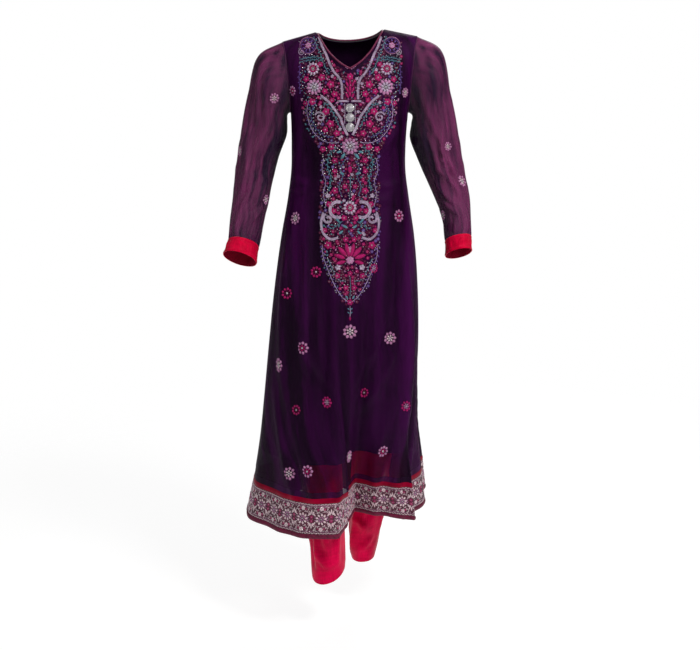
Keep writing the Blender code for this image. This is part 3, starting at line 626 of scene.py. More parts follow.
def satin(name, deep, bright, ribs=0.0):
    """Soft satin: long floats that shine across the thread, slubs and faint handling creases."""
    made = Finish(name, Anisotropic=0.45, Specular_IOR_Level=0.16, Specular_Tint=(1.0, 0.14, 0.28))
    floats = noise(stretched(made.flat, y=0.05), 620.0, 3.0, 0.6)
    slub = noise(stretched(made.flat, x=0.12), 170.0, 3.0, 0.6)
    rumple = noise(made.place, 26.0, 4.0, 0.55)
    share = clamped(0.35 * floats + 0.25 * slub + 0.4 * rumple, 0.38, 0.62)
    height = 0.24 * floats + 0.14 * slub + 0.62 * rumple
    if ribs:
        height = height + 0.35 * bands(made.flat, "X", ribs, 0.4)
    return made.done(mixed(share, deep, bright), 0.3 + 0.2 * rumple + 0.1 * slub, height,
                     0.0016, 0.55)


def brocade_ground(name):
    """Maroon silk ground, close-set with silver and pink seed stitches and woven bars."""
    made = Finish(name, Specular_IOR_Level=0.45)
    flat = made.flat
    seeds = node(flat.tree, "ShaderNodeTexVoronoi", {"feature": "F1"}, {
        "Vector": flat, "Scale": 330.0, "Randomness": 0.75})
    seed = 0.6 * clamped(1.0 - seeds * 2.6, 0.0, 0.35)
    patch = noise(flat, 85.0)
    pink = clamped(noise(flat, 46.0, 1.0), 0.44, 0.56)
    ground = mixed(clamped(patch, 0.3, 0.7), (0.036, 0.002, 0.014), (0.1, 0.006, 0.03))
    thread = mixed(pink, (0.6, 0.5, 0.53), (0.55, 0.2, 0.32))
    made.put("Metallic", seed * 0.35)
    height = 0.65 * seed + 0.2 * bands(flat, "Y", 0.0011) + 0.15 * patch
    return made.done(mixed(seed * 0.92, ground, thread), 0.58 - 0.22 * seed, height, 0.0009, 0.8)


def thread_work(name, dark, light, metallic, roughness, stitch=0.00045, glint=0.0):
    """Satin-stitched thread: fine lines along each stitch, with a painted highlight where the
    thread stands up.
    """
    made = Finish(name, Metallic=metallic, Specular_IOR_Level=0.22, Anisotropic=0.3)
    lines = bands(made.flat, "X", stitch, 0.5)
    tone = noise(made.place, 90.0, 3.0, 0.6)
    # Painted highlight: the raised stitch lines are also made lighter.
    share = clamped(0.45 * lines + 0.75 * tone, 0.35, 0.85)
    if glint:
        made.put("Coat Weight", clamped(noise(made.place, 700.0, 1.0), 0.5, 0.62) * glint)
    return made.done(mixed(share, dark, light), roughness + 0.18 * tone,
                     0.7 * lines + 0.3 * tone, 0.0003, 0.7)


def bead_finish(name, dark, light, metallic, roughness, coat):
    """Pearl, glass or metal beads with a clear skin, a slightly clouded body and painted shade
    towards the rims.
    """
    made = Finish(name, Metallic=metallic, Coat_Roughness=0.08, Specular_IOR_Level=0.6,
                  Coat_Weight=coat)
    cloud = noise(made.place, 240.0, 3.0, 0.6)
    # Painted shade: darker where the bead's face turns away from the view, towards its rim.
    rim = node(cloud.tree, "ShaderNodeLayerWeight", sockets={"Blend": 0.35}, output=1)
    share = clamped(0.6 * cloud + 0.5 * rim, 0.25, 0.85)
    return made.done(mixed(share, light, dark), roughness + 0.15 * cloud, cloud, 0.0003, 0.25)


def rolled_edge(name):
    """Dark red rolled hem: diagonal oversewing with a trace of silver thread."""
    made = Finish(name, Specular_IOR_Level=0.18)
    twist = bands(stretched(made.flat, turn=0.9), "X", 0.0017, 0.6)
    patch = noise(made.flat, 130.0, 3.0)
    body = mixed(clamped(patch, 0.3, 0.7), (0.07, 0.002, 0.018), (0.19, 0.006, 0.046))
    return made.done(mixed(clamped(twist, 0.72, 1.0) * 0.22, body, (0.36, 0.12, 0.18)),
                     0.42 + 0.22 * patch, 0.8 * twist + 0.2 * patch, 0.0007, 0.8)


def plain_cloth(name, dark, light, thread):
    """Matte plain weave for linings and the wrong side of a worked cloth."""
    made = Finish(name, Specular_IOR_Level=0.08)
    cloud = noise(made.place, 14.0, 3.0)
    return made.done(mixed(clamped(cloud, 0.35, 0.65), dark, light), 0.52 + 0.16 * cloud,
                     weave(made.flat, thread) * 0.6 + cloud * 0.4, 0.0006, 0.5)


# Each finish: the function that makes it, its name, and that function's other values.
FINISHES = {
    "kameez_front": (chiffon, "kameez_chiffon", (0.01, 0.0004, 0.012), (0.058, 0.0012, 0.065),
        0.33, 0.12, 0.0014, 17.0, 0.085, (0.094, 0.116, 1.085)),
    "kameez_back": (chiffon, "kameez_back_chiffon", (0.01, 0.0004, 0.012), (0.048, 0.0011, 0.053),
        0.8, 0.1, 0.0014, 17.0, 0.085),
    "sleeve": (chiffon, "sleeve_chiffon", (0.016, 0.002, 0.024), (0.236, 0.035, 0.136),
        0.72, 0.18, 0.002, 38.0, 0.12, None, 0.24),
    "lining": (plain_cloth, "lining_cloth", (0.012, 0.0003, 0.0155), (0.022, 0.0006, 0.028),
        0.0007),
    "backing": (plain_cloth, "backing_cloth", (0.05, 0.002, 0.014), (0.1, 0.005, 0.03), 0.0009),
    "cuff_inside": (plain_cloth, "cuff_inside", (0.26, 0.002, 0.018), (0.4, 0.004, 0.034), 0.0009),
    "cuff": (satin, "cuff_satin", (0.46, 0.0005, 0.022), (0.82, 0.002, 0.05), 0.003),
    "salwar": (satin, "salwar_satin", (0.46, 0.0006, 0.034), (0.78, 0.002, 0.07)),
    "band": (satin, "band_satin", (0.15, 0.0006, 0.012), (0.34, 0.0018, 0.028)),
    "brocade": (brocade_ground, "brocade_ground"),
    "edge": (rolled_edge, "rolled_edge"),
    "piping": (thread_work, "piping_silk", (0.08, 0.004, 0.03), (0.26, 0.04, 0.105),
        0.0, 0.4, 0.0011),
    "seam": (thread_work, "seam_thread", (0.03, 0.004, 0.03), (0.09, 0.016, 0.07),
        0.0, 0.55, 0.0009),
    "silver": (thread_work, "silver_thread", (0.19, 0.135, 0.23), (0.82, 0.66, 0.85),
        0.35, 0.3, 0.00045, 0.5),
    "bright": (thread_work, "bright_silver_thread", (0.54, 0.38, 0.43), (0.98, 0.8, 0.84),
        0.25, 0.3, 0.00045, 0.5),
    "rose": (thread_work, "rose_thread", (0.3, 0.09, 0.22), (0.68, 0.32, 0.56), 0.1, 0.42),
    "pink": (thread_work, "pink_thread", (0.23, 0.001, 0.06), (0.56, 0.005, 0.165), 0.0, 0.45),
    "wine": (thread_work, "wine_thread", (0.032, 0.0003, 0.015), (0.15, 0.0012, 0.048), 0.0, 0.5),
    "violet": (thread_work, "violet_thread", (0.05, 0.02, 0.15), (0.22, 0.12, 0.44), 0.0, 0.45),
    "teal": (thread_work, "teal_thread", (0.03, 0.13, 0.18), (0.15, 0.38, 0.46), 0.0, 0.42),
    "pearl": (bead_finish, "pearl", (0.24, 0.22, 0.25), (0.48, 0.46, 0.5), 0.35, 0.22, 0.7),
    "metal": (bead_finish, "silver_metal", (0.34, 0.31, 0.33), (0.88, 0.86, 0.87), 0.95, 0.2, 0.2),
    "stitch": (thread_work, "stitch_thread", (0.3, 0.01, 0.04), (0.62, 0.06, 0.12),
        0.0, 0.5, 0.0004),
}


def finish_named(key):
    """A finish, made on its first use."""
    maker, name, *values = FINISHES[key]
    return bpy.data.materials.get(name) or maker(name, *values)


# ---- surfaces
SEARCH_STEPS = 6  # Gauss-Newton steps towards a place on a surface
SEARCH_SKIP = 4  # rows and columns between the places that a search starts from


class Surface:
    """A cloth's outer face: a grid of points, with rows down it and columns across it.

    outward is 1 where down x across points out, and -1 where it points in. A ring's last column
    meets its first.
    """

    def __init__(self, points, outward=1.0, ring=False):
        self.points, self.outward, self.ring = points, outward, ring
        self.down = np.gradient(points, axis=0)
        if ring:
            self.across = (np.roll(points, -1, 1) - np.roll(points, 1, 1)) / 2
        else:
            self.across = np.gradient(points, axis=1)
        self.normals = unit(outward * np.cross(self.down, self.across))

    def lengths(self, middle=0):
        """Metres across each row from the middle column, and metres down from the top row."""
        closed = self.points
        if self.ring:
            closed = np.concatenate([closed, closed[:, :1]], axis=1)
        across = travelled(closed.swapaxes(0, 1)).T
        down = travelled(closed).mean(axis=1)[:, None] + 0 * across
        return across - across[:, middle:middle + 1], down

    def moved(self, distance):
        """The surface with each point moved along its normal."""
        return Surface(self.points + distance[..., None] * self.normals, self.outward, self.ring)

    def strip(self, first, last, step=1):
        """Rows from first to last, every step-th row and column; both ends are kept."""
        rows = np.unique(np.r_[np.arange(first, last, step), last])
        columns = self.points.shape[1]
        columns = np.unique(np.r_[np.arange(0, columns, step), columns - 1])
        return Surface(self.points[np.ix_(rows, columns)], self.outward, self.ring)

    def at(self, field, i, j):
        """A field of the grid read between its points, at row i and column j."""
        rows, columns = field.shape[:2]
        low_i = np.clip(np.floor(i).astype(int), 0, rows - 2)
        low_j = np.floor(j).astype(int)
        if not self.ring:
            low_j = np.clip(low_j, 0, columns - 2)
        t, s = (i - low_i)[..., None], (j - low_j)[..., None]
        low_j, high_j = low_j % columns, (low_j + 1) % columns
        return ((1 - t) * ((1 - s) * field[low_i, low_j] + s * field[low_i, high_j])
                + t * ((1 - s) * field[low_i + 1, low_j] + s * field[low_i + 1, high_j]))

    def level(self, i, j):
        """Outward, level and rising directions of the cloth at row i and column j."""
        normal = self.at(self.normals, i, j)
        side = unit(np.cross(UPRIGHT, normal))
        return normal, side, np.cross(normal, side)

    def nearest(self, targets, i, j, seen=(0, 1, 2)):
        """Row and column nearest to each target, by Gauss-Newton steps on the axes in seen."""
        seen = list(seen)
        rows, columns = self.points.shape[:2]
        for _ in range(SEARCH_STEPS):
            here, down, across = (self.at(field, i, j)[..., seen]
                                  for field in (self.points, self.down, self.across))
            miss = targets[..., seen] - here
            dd, da, aa, dm, am = ((a * b).sum(-1) for a, b in (
                (down, down), (down, across), (across, across), (down, miss), (across, miss)))
            scale = np.maximum(dd * aa - da * da, 1e-14)
            i = np.clip(i + np.clip((aa * dm - da * am) / scale, -4, 4), 0, rows - 1)
            j = j + np.clip((dd * am - da * dm) / scale, -4, 4)
            if not self.ring:
                j = np.clip(j, 0, columns - 1)
        return i, j

    def facing(self, x, z):
        """Row and column under places seen from the front or back; the outer layer wins."""
        coarse = self.points[::SEARCH_SKIP, ::SEARCH_SKIP]
        forward = coarse[..., 1] * np.sign(coarse[..., 1].sum())
        away = ((coarse[None, ..., 0] - x[:, None, None]) ** 2
                + (coarse[None, ..., 2] - z[:, None, None]) ** 2 - 6e-4 * forward[None])
        best = away.reshape(len(x), -1).argmin(axis=1)
        i, j = (float(SEARCH_SKIP) * at for at in np.unravel_index(best, coarse.shape[:2]))
        return self.nearest(np.stack([x, 0 * x, z], -1), i, j, seen=(0, 2))


# The waves of rumples: length, lean in radians and phase.
WAVES = ((1.0, 0.35, 0.4), (0.61, -0.8, 2.1), (1.7, 1.9, 4.4), (0.43, 2.6, 1.2), (2.6, -1.3, 5.3))


def creases_on(across, down, table, gain, girth=None):
    """Height of listed creases: ridges, or hollows where depth is negative.

    Each runs from one place to another along a bowed line. It is steeper on one side, and fades
    towards both ends. Depths are multiplied by gain. Round a tube, across is in degrees and
    girth is each row's length round it.
    """
    units = MM * np.ones(7)
    if girth is not None:
        units[[0, 2]] = 1.0
    height = 0.0 * (across + down)
    for start, top, end, bottom, width, depth, bow in np.array(table) * units:
        aside, span, below, fall = across - start, end - start, down - top, bottom - top
        if girth is not None:
            aside, span = around_from(aside) * girth / 360, span * girth / 360
        length = np.hypot(span, fall)
        along = np.clip((aside * span + below * fall) / length ** 2, 0, 1)
        off = (aside * fall - below * span) / length - bow * np.sin(np.pi * along)
        steep = np.where(off < 0, width, 0.55 * width)
        height = height + gain * depth * np.sin(np.pi * along) ** 0.8 * np.exp(-(off / steep) ** 2)
    return height


def rumples(across, down, size, depth, lean=0.0):
    """Low uneven waves: five sines of different lengths and leans, each bent by the others."""
    total = 0.0
    for reach, way, phase in WAVES:
        turn = way + lean
        line = (across * np.cos(turn) + down * np.sin(turn) * 0.45) / (size * reach)
        total = total + np.sin(2 * np.pi * line + phase + 0.9 * total) * (0.5 + 0.3 * reach)
    return depth * total / 3


def seam_hold(across, reach):
    """0 at the side edges of a cloth, where its seams hold it, and 1 past reach metres."""
    return ramp(np.minimum(across - across[:, :1], across[:, -1:] - across) / reach)


# ---- mesh pieces
def new_piece(name, points, faces, flat, finish, node_name=None):
    """Adds a mesh: points, faces of three or four corners, and its UV map in metres."""
    mesh = bpy.data.meshes.new(name)
    mesh.from_pydata(points.reshape(-1, 3).tolist(), [], faces.tolist())
    layer = mesh.uv_layers.new(name="cloth")
    layer.data.foreach_set("uv", flat.astype(np.float32).ravel())
    mesh.materials.append(finish_named(finish))
    mesh.shade_smooth()
    piece = bpy.data.objects.new(name, mesh)
    bpy.context.scene.collection.objects.link(piece)
    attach(piece, "root")
    if node_name:
        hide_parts(node_name)
    return piece


def grid_faces(rows, columns, ring=False, flipped=False):
    """Four-cornered faces of a grid, as point numbers and as UV numbers, which a ring repeats."""
    wide = columns + 1 if ring else columns
    flat = np.arange(rows * wide).reshape(rows, wide)
    index = np.arange(rows * columns).reshape(rows, columns)
    if ring:
        index = np.concatenate([index, index[:, :1]], axis=1)
    quads = [np.stack([grid[:-1, :-1], grid[1:, :-1], grid[1:, 1:], grid[:-1, 1:]], -1)
             for grid in (index, flat)]
    return [corners.reshape(-1, 4)[:, ::-1 if flipped else 1] for corners in quads]


def cloth(name, surface, wall, finish, node_name, middle=0, inside=None):
    """A sheet of cloth on a surface, with its wall on the inner side and crisp cut edges."""
    rows, columns = surface.points.shape[:2]
    across, down = surface.lengths(middle)
    if surface.ring:
        # A tube's grain runs down its columns, however wide each row is.
        across = across / across[:, -1:] * across[:, -1].mean()
    quads, corners = grid_faces(rows, columns, surface.ring, surface.outward < 0)
    flat = np.stack([across, -down], -1).reshape(-1, 2)[corners]
    piece = new_piece(name, surface.points, quads, flat, finish, node_name)
    mesh = piece.data
    # An edge that only one face uses is a cut edge.
    ends = np.zeros(len(mesh.edges) * 2, np.int32)
    mesh.edges.foreach_get("vertices", ends)
    ends = np.sort(ends.reshape(-1, 2), axis=1)
    used = np.sort(np.stack([quads, np.roll(quads, -1, axis=1)], -1).reshape(-1, 2), axis=1)
    keys, uses = np.unique(used @ [rows * columns, 1], return_counts=True)
    sharp = uses[np.searchsorted(keys, ends @ [rows * columns, 1])] == 1
    mesh.attributes.new("sharp_edge", "BOOLEAN", "EDGE").data.foreach_set("value", sharp)
    solidify = piece.modifiers.new("wall", "SOLIDIFY")
    solidify.thickness, solidify.offset = wall, -1.0
    if inside:
        mesh.materials.append(finish_named(inside))
        solidify.material_offset = 1


def cord(name, path, radius, finish, closed=False, around=8, node_name=None):
    """A round cord along a path; where it isn't closed it tapers shut at both ends.

    Its rings lie square to the path, and their turn starts from a direction that is never along
    it: level for upright paths and upright for level ones.
    """
    if closed:
        along = unit(np.roll(path, -1, 0) - np.roll(path, 1, 0))
    else:
        along = unit(np.gradient(path, axis=0))
    upright = np.abs(along[:, 2]).mean() > 0.8
    side = unit(np.cross(along, np.array([0.0, 1.0, 0.0]) if upright else UPRIGHT))
    up = np.cross(side, along)
    turn = turns(around)[:, None]
    size = np.full((len(path), 1, 1), radius)
    if not closed:
        travel = travelled(path)
        near = np.clip(np.minimum(travel, travel[-1] - travel) / radius, 0.003, 1)
        size = (radius * np.sqrt(near * (2 - near)))[:, None, None]
    points = path[:, None] + size * (np.cos(turn) * side[:, None] + np.sin(turn) * up[:, None])
    normals = Surface(points, ring=True).normals
    outward = -1.0 if ((points - path[:, None]) * normals).sum() < 0 else 1.0
    if closed:
        points = np.concatenate([points, points[:1]])
    across, down = Surface(points, outward, ring=True).lengths()
    quads, corners = grid_faces(len(points), around, True, outward < 0)
    if closed:
        # The last ring is the first one again.
        points, quads = points[:-1], quads % (len(path) * around)
    flat = np.stack([across, -down], -1).reshape(-1, 2)[corners]
    new_piece(name, points, quads, flat, finish, node_name)


# ---- creases
# Each crease: across and down where it starts, across and down where it ends, half width, depth
# and bow, in millimetres on the flat cloth. On a panel, across runs from the middle to the
# wearer's left and down from the shoulder. A minus depth is a hollow; the gains scale depths.
PANEL_GAIN, SLEEVE_GAIN, LEG_GAIN = 2.6, 2.5, 3.2
PANEL_CREASES = {"front": (
    (-150, 215, -70, 262, 11, 2.2, 6), (-152, 240, -85, 300, 10, -1.8, 8),
    (150, 212, 78, 268, 12, 2.4, -7), (150, 246, 92, 296, 9, -1.6, -6),
    (-118, 120, -88, 205, 10, 1.6, 4), (120, 112, 94, 196, 11, 1.7, -5),
    (-158, 330, -60, 352, 10, 2.6, -6), (-160, 362, -78, 372, 9, 2.4, 5),
    (-152, 392, -50, 386, 10, 1.8, 7), (154, 338, 66, 356, 10, 2.6, 6),
    (150, 368, 82, 378, 10, 2, -4), (148, 404, 44, 392, 11, 1.8, -8),
    (-105, 395, -128, 820, 17, 4.2, 12), (-150, 430, -182, 900, 20, 4.6, -10),
    (-62, 520, -82, 1010, 18, -3.6, 10), (-22, 600, -34, 1050, 16, 3.4, -8),
    (26, 560, 12, 930, 15, 3, 10), (62, 450, 86, 900, 18, 4, -14),
    (108, 420, 140, 860, 18, -3.8, 12), (142, 480, 172, 1020, 20, 4.4, 10),
    (120, 560, 0, 840, 13, 3, 20), (138, 640, 20, 930, 13, 3, 22),
    (-130, 700, -30, 860, 14, 2.6, -16), (-160, 900, -170, 1220, 20, 4.6, 6),
    (-102, 930, -112, 1225, 18, -4, -8), (-52, 960, -58, 1225, 17, 4, 5),
    (106, 880, 118, 1225, 19, 4.4, -6), (170, 910, 190, 1225, 19, -3.6, 6),
    (-215, 820, -232, 1215, 18, 4, 4), (224, 780, 250, 1210, 18, 3.8, -6),
), "back": (
    (-100, 90, -52, 215, 12, 2.2, -10), (104, 96, 60, 228, 12, 2.2, 10),
    (-66, 70, -18, 160, 11, -1.5, 6), (62, 64, 20, 150, 11, -1.5, -6),
    (-146, 230, -60, 286, 11, 2.4, 6), (148, 236, 64, 290, 11, 2.4, -6),
    (-118, 350, 0, 362, 10, 2.6, 5), (-8, 378, 112, 366, 10, 2.6, -6),
    (-130, 396, 30, 404, 10, 2.2, 6), (20, 418, 136, 402, 10, 2, 4),
    (-66, 440, -92, 900, 19, 4.6, -12), (-20, 480, -10, 960, 18, -4, 10),
    (36, 450, 58, 930, 18, 4.6, -10), (94, 430, 120, 910, 19, -3.8, 10),
    (-128, 450, -164, 980, 20, 4.4, 8), (150, 470, 186, 1000, 20, 4.6, -6),
    (-110, 900, -116, 1225, 18, -4.4, 6), (-46, 930, -50, 1225, 18, 4.4, -6),
    (18, 900, 22, 1225, 18, -4, 6), (80, 920, 90, 1225, 18, 4.4, 6),
    (230, 800, 260, 1215, 19, 4, -6), (-230, 820, -262, 1215, 19, -3.6, 6),
)}
# On a sleeve, cuff or leg, across is in degrees: a sleeve's from the outer side over the front,
# a leg's from the front edge round the outer side.
SLEEVE_CREASES = {"right": (
    (38, 20, 74, 150, 8, 3, 6), (66, 30, 104, 170, 7, 2.6, 5), (100, 50, 128, 190, 8, 3, -5),
    (20, 90, 52, 240, 8, 2.4, 6), (56, 150, 84, 300, 7, 2.8, -6), (92, 170, 112, 330, 7, 3, 6),
    (128, 190, 96, 320, 8, -2.4, 6), (70, 250, 40, 390, 7, 2.6, 6), (108, 290, 66, 400, 7, 3, -5),
    (140, 280, 98, 370, 8, 3.2, 7), (150, 330, 88, 420, 7, 2.6, 6), (60, 380, 82, 510, 7, 2.4, -4),
    (100, 400, 120, 515, 7, -2.4, 4), (24, 400, 46, 512, 7, 2.2, 4),
    (300, 60, 330, 230, 9, 2.8, 6), (262, 80, 236, 260, 9, 2.8, 6),
    (222, 120, 250, 300, 8, -2.4, 6), (336, 200, 304, 350, 8, 2.6, 6),
    (276, 260, 232, 350, 8, 3, -6), (250, 310, 300, 420, 8, 2.8, 6),
    (214, 330, 250, 470, 8, 2.6, 5), (316, 380, 288, 512, 7, 2.4, 4),
), "left": (
    (44, 15, 82, 140, 8, 3, -6), (74, 30, 96, 180, 7, 3, 5), (108, 50, 84, 190, 7, 2.6, 6),
    (24, 80, 58, 220, 8, 2.6, -6), (62, 130, 90, 270, 6, 3, 5), (82, 150, 104, 300, 6, 3, -6),
    (100, 130, 124, 280, 7, -2.4, 5), (70, 220, 46, 350, 7, 2.8, 6),
    (112, 250, 74, 350, 7, 3.2, -6), (138, 270, 92, 370, 7, 3.2, 5),
    (150, 310, 80, 400, 7, 2.6, 6), (52, 360, 76, 495, 7, 2.6, -4), (94, 380, 112, 500, 7, 2.2, 4),
    (20, 390, 36, 500, 7, -2.2, 4), (306, 50, 334, 210, 9, 2.8, -6), (266, 80, 240, 250, 9, 3, 6),
    (226, 130, 256, 290, 8, -2.4, 6), (332, 210, 300, 340, 8, 2.8, 6),
    (280, 250, 238, 340, 8, 3, -6), (244, 310, 292, 410, 8, 2.8, 6),
    (210, 330, 246, 460, 8, 2.4, 5), (318, 370, 292, 498, 7, 2.4, 4),
)}
CUFF_CREASES = (
    (70, 4, 96, 34, 6, 1.2, 2), (124, 6, 108, 36, 7, -1, 2), (20, 5, 34, 34, 6, 1, 2),
    (255, 4, 238, 34, 7, 1.2, 2), (310, 6, 322, 34, 6, -1, 2),
)
LEG_CREASES = {"right": (
    (150, 300, 172, 520, 16, 3, 8), (200, 340, 176, 560, 16, 2.8, 8),
    (210, 620, 240, 760, 12, 2.4, 6), (130, 600, 110, 780, 13, 2.6, 6),
    (188, 740, 200, 900, 10, 2.6, -4), (156, 760, 146, 926, 10, -2, 4),
    (226, 800, 214, 930, 10, 2.2, 4), (120, 820, 128, 930, 10, 2, 4),
    (40, 780, 60, 930, 11, 2.2, 4), (330, 760, 310, 930, 11, 2.2, 4), (80, 540, 40, 640, 13, 3, 8),
    (320, 560, 280, 650, 13, 2.8, 8), (40, 806, 104, 872, 12, 2.6, 8),
    (142, 800, 84, 836, 12, -2.2, -6), (128, 880, 66, 926, 11, 2.6, 6),
    (96, 780, 80, 900, 13, 2, 6),
), "left": (
    (160, 300, 176, 520, 16, 3, 8), (204, 340, 182, 560, 16, 2.8, 8),
    (214, 600, 246, 750, 12, 2.4, 6), (132, 620, 108, 790, 13, 2.6, 6),
    (176, 740, 190, 900, 10, 2.6, -4), (150, 800, 140, 940, 9, 2, 4),
    (214, 780, 224, 940, 10, 2.4, 4), (60, 760, 44, 940, 11, 2.2, 4),
    (300, 780, 316, 940, 11, 2.2, 4), (86, 560, 44, 660, 13, 3, 8),
    (324, 540, 284, 640, 13, 2.8, 8), (250, 840, 262, 940, 9, 2, 3),
    (44, 846, 112, 898, 11, 2.6, 7), (136, 830, 78, 862, 11, -2.2, -6),
    (124, 900, 58, 948, 10, 2.4, 5), (84, 800, 98, 920, 12, 2, -6),
)}


# ---- garments
ARMHOLE_ROLL, SIDE_ROLL, LEG_ROLL = 0.0012, 0.0011, 0.0015
# Gathers' pitch and depth, and topstitches' pitch, length, width and height.
WRIST_GATHERS, WAIST_GATHERS = (0.0115, 0.0009), (0.017, 0.0009)
TOPSTITCH_PITCH, TOPSTITCH = 0.0034, (0.0026, 0.0008, 0.0004)
WAIST_Z, WAIST_FADE = (-0.47, -0.3), 0.04  # heights between which the waistband backs it


def hump(t):
    """A full round hump of height 1 over t from 0 to 1, for rolls along edges."""
    return np.sin(np.pi * np.clip(t, 0, 1)) ** 0.7


def panel_surface(side):
    """A whole panel, from the shoulders to the hem's lower edge, with its creases."""
    heights = [np.linspace(ARMPIT_Z, BAND_TOP_Z, SKIRT_ROWS + 1)]
    for _, rows, bottom, *_ in HEM_STRIPS:
        heights.append(np.linspace(heights[-1][-1], bottom, rows + 1)[1:])
    surface = Surface(panel_grid(side, np.concatenate(heights)), FACING[side])
    across, down = surface.lengths(PANEL_MIDDLE[side])
    height = creases_on(across, down, PANEL_CREASES[side], PANEL_GAIN)
    height = height + rumples(across, down, 0.07, 0.0007, 0.3 if side == "front" else -0.5)
    height = height + rumples(across + 0.31, down, 0.026, 0.00035, 1.1)
    # The waistband lies close under the waist, so nothing sinks in there.
    z = surface.points[..., 2]
    at_waist = ramp((z - WAIST_Z[0]) / WAIST_FADE) * ramp((WAIST_Z[1] - z) / WAIST_FADE)
    height = np.where(height < 0, height * (1 - at_waist), height)
    # The side seams and shoulder hold the cloth, and the stiff border flattens it.
    height = height * seam_hold(across, 0.018) * ramp(down / 0.03)
    return surface.moved(height * (1 - 0.35 * ramp((BAND_TOP_Z + 0.03 - z) / 0.05)))


def tube_height(surface, creases, gain, size, depth):
    """Creases and low waves of a sleeve, cuff or leg; also its metres across and down."""
    across, down = surface.lengths()
    girth = across[:, -1:]
    turn, reach = 2 * np.pi * across / girth, girth / 6.3
    height = creases_on(np.degrees(turn), down, creases, gain, girth)
    waves = rumples(np.sin(turn) * reach, down, size, depth, 0.6)
    waves = waves + rumples(np.cos(turn) * reach, down, size, depth, -0.4)
    return height + waves, across, down


# The hem's strips: rows, lower edge, wall, how proud the middle stands, finish and slot. The band
# puffs a little, the border lies flat, and the rolled edge is a half round.
HEM_STRIPS = (("hem_band", BAND_ROWS, BORDER_TOP_Z, BAND_WALL, 0.0009, "band", "red_satin"),
              ("border", BORDER_ROWS, EDGING_TOP_Z, BORDER_WALL, 0.0004, "brocade", "brocade"),
              ("hem_edging", EDGING_ROWS, HEM_Z, BAND_WALL, 0.0022, "edge", "edging"))


def make_panels():
    """Kameez panels, linings and the hem's three strips; returns the panels and the borders."""
    panels, borders = {}, {}
    for side in FACING:
        whole = panels[side] = panel_surface(side)
        middle, row = PANEL_MIDDLE[side], YOKE_ROWS[side] + SKIRT_ROWS
        cloth(f"kameez_panel_{side}", whole.strip(0, row), CHIFFON_WALL, f"kameez_{side}",
              f"kameez_{side}", middle)
        skirt = whole.points[YOKE_ROWS[side]:row, middle, 2]
        hem_row = YOKE_ROWS[side] + int(np.argmin(np.abs(skirt - LINING_HEM_Z)))
        inner = whole.moved(np.full(whole.points.shape[:2], -LINING_INSET)).strip(0, hem_row, 2)
        # The lining stays on its own side of the side seams.
        turned = whole.outward
        inner.points[..., 1] = turned * np.minimum(turned * inner.points[..., 1], -SIDE_SHIFT)
        cloth(f"lining_cloth_{side}", inner, LINING_WALL, "lining", f"lining_{side}",
              middle // 2)
        for name, rows, _, wall, proud, finish, slot in HEM_STRIPS:
            strip = whole.strip(row, row + rows)
            row += rows
            puff = np.sin(np.pi * np.linspace(0, 1, rows + 1)[:, None]) ** 0.6
            strip = strip.moved(proud * puff + 0 * strip.points[..., 0])
            cloth(f"{name}_cloth_{side}", strip, wall, finish, f"{name}_{side}", middle,
                  "backing")
            if name == "border":
                borders[side] = strip
    return panels, borders


def make_neck():
    """Rolled piping round the neck, from shoulder to shoulder, front and back."""
    path = []
    for side, turned in FACING.items():
        neck = np.abs(panel_shares(side) - 0.5) * 2 <= NECK_SHARE + 1e-6
        edge, below = (PANELS[side].points[row, neck][::turned] for row in (0, 2))
        along = unit(np.gradient(edge, axis=0))
        away = edge - below
        away = unit(away - (away * along).sum(axis=1, keepdims=True) * along)
        path.append((edge + away * 0.0014 + np.cross(along, away) * CHIFFON_WALL / 2)[:-1])
    path = np.concatenate(path)
    path = (np.roll(path, 1, 0) + 2 * path + np.roll(path, -1, 0)) / 4
    cord("neck_roll", path, PIPING_RADIUS, "piping", True, 12, "neck_piping")


def make_sleeves():
    """Sheer sleeves, creased from shoulder to wrist, and their satin cuffs; returns both."""
    sleeves, cuffs = {}, {}
    around = turns(SLEEVE_AROUND)
    for side in SIDES:
        outward = -SIDES[side]
        along = np.linspace(0, 1, SLEEVE_ALONG + 1) ** 1.06
        sleeve = Surface(sleeve_grid(side, along, around), outward, ring=True)
        height, across, down = tube_height(sleeve, SLEEVE_CREASES[side], SLEEVE_GAIN, 0.05,
                                           0.0006)
        left_over = down[-1:] - down
        hold = ramp(down / 0.014) * ramp(left_over / 0.012)
        pitch, depth = WRIST_GATHERS
        gathers = depth * np.sin(across * 2 * np.pi / pitch + 2.2 * np.sin(across * 37))
        gathers = gathers * np.exp(-left_over / 0.02) * ramp(left_over / 0.004)
        sleeve = sleeves[side] = sleeve.moved((height * hold + gathers)[:, :-1])
        cloth(f"sleeve_cloth_{side}", sleeve, CHIFFON_WALL, "sleeve",
              f"sleeve_{side}")
        top, bottom = arm_rings(CUFF_RINGS[side], side, around)
        share = np.linspace(0, 1, CUFF_ROWS + 1)[:, None]
        cuff = Surface(top + share[..., None] * (bottom - top), outward, ring=True)
        roll = 0.001 * hump(share / 0.16) + 0.0012 * hump((1 - share) / 0.16)
        wave = tube_height(cuff, CUFF_CREASES, SLEEVE_GAIN, 0.04, 0.0004)[0]
        cuff = cuffs[side] = cuff.moved(roll + wave[:, :-1] * ramp(share / 0.2))
        cloth(f"cuff_cloth_{side}", cuff, CUFF_WALL, "cuff", f"cuff_{side}", 0,
              "cuff_inside")
    return sleeves, cuffs


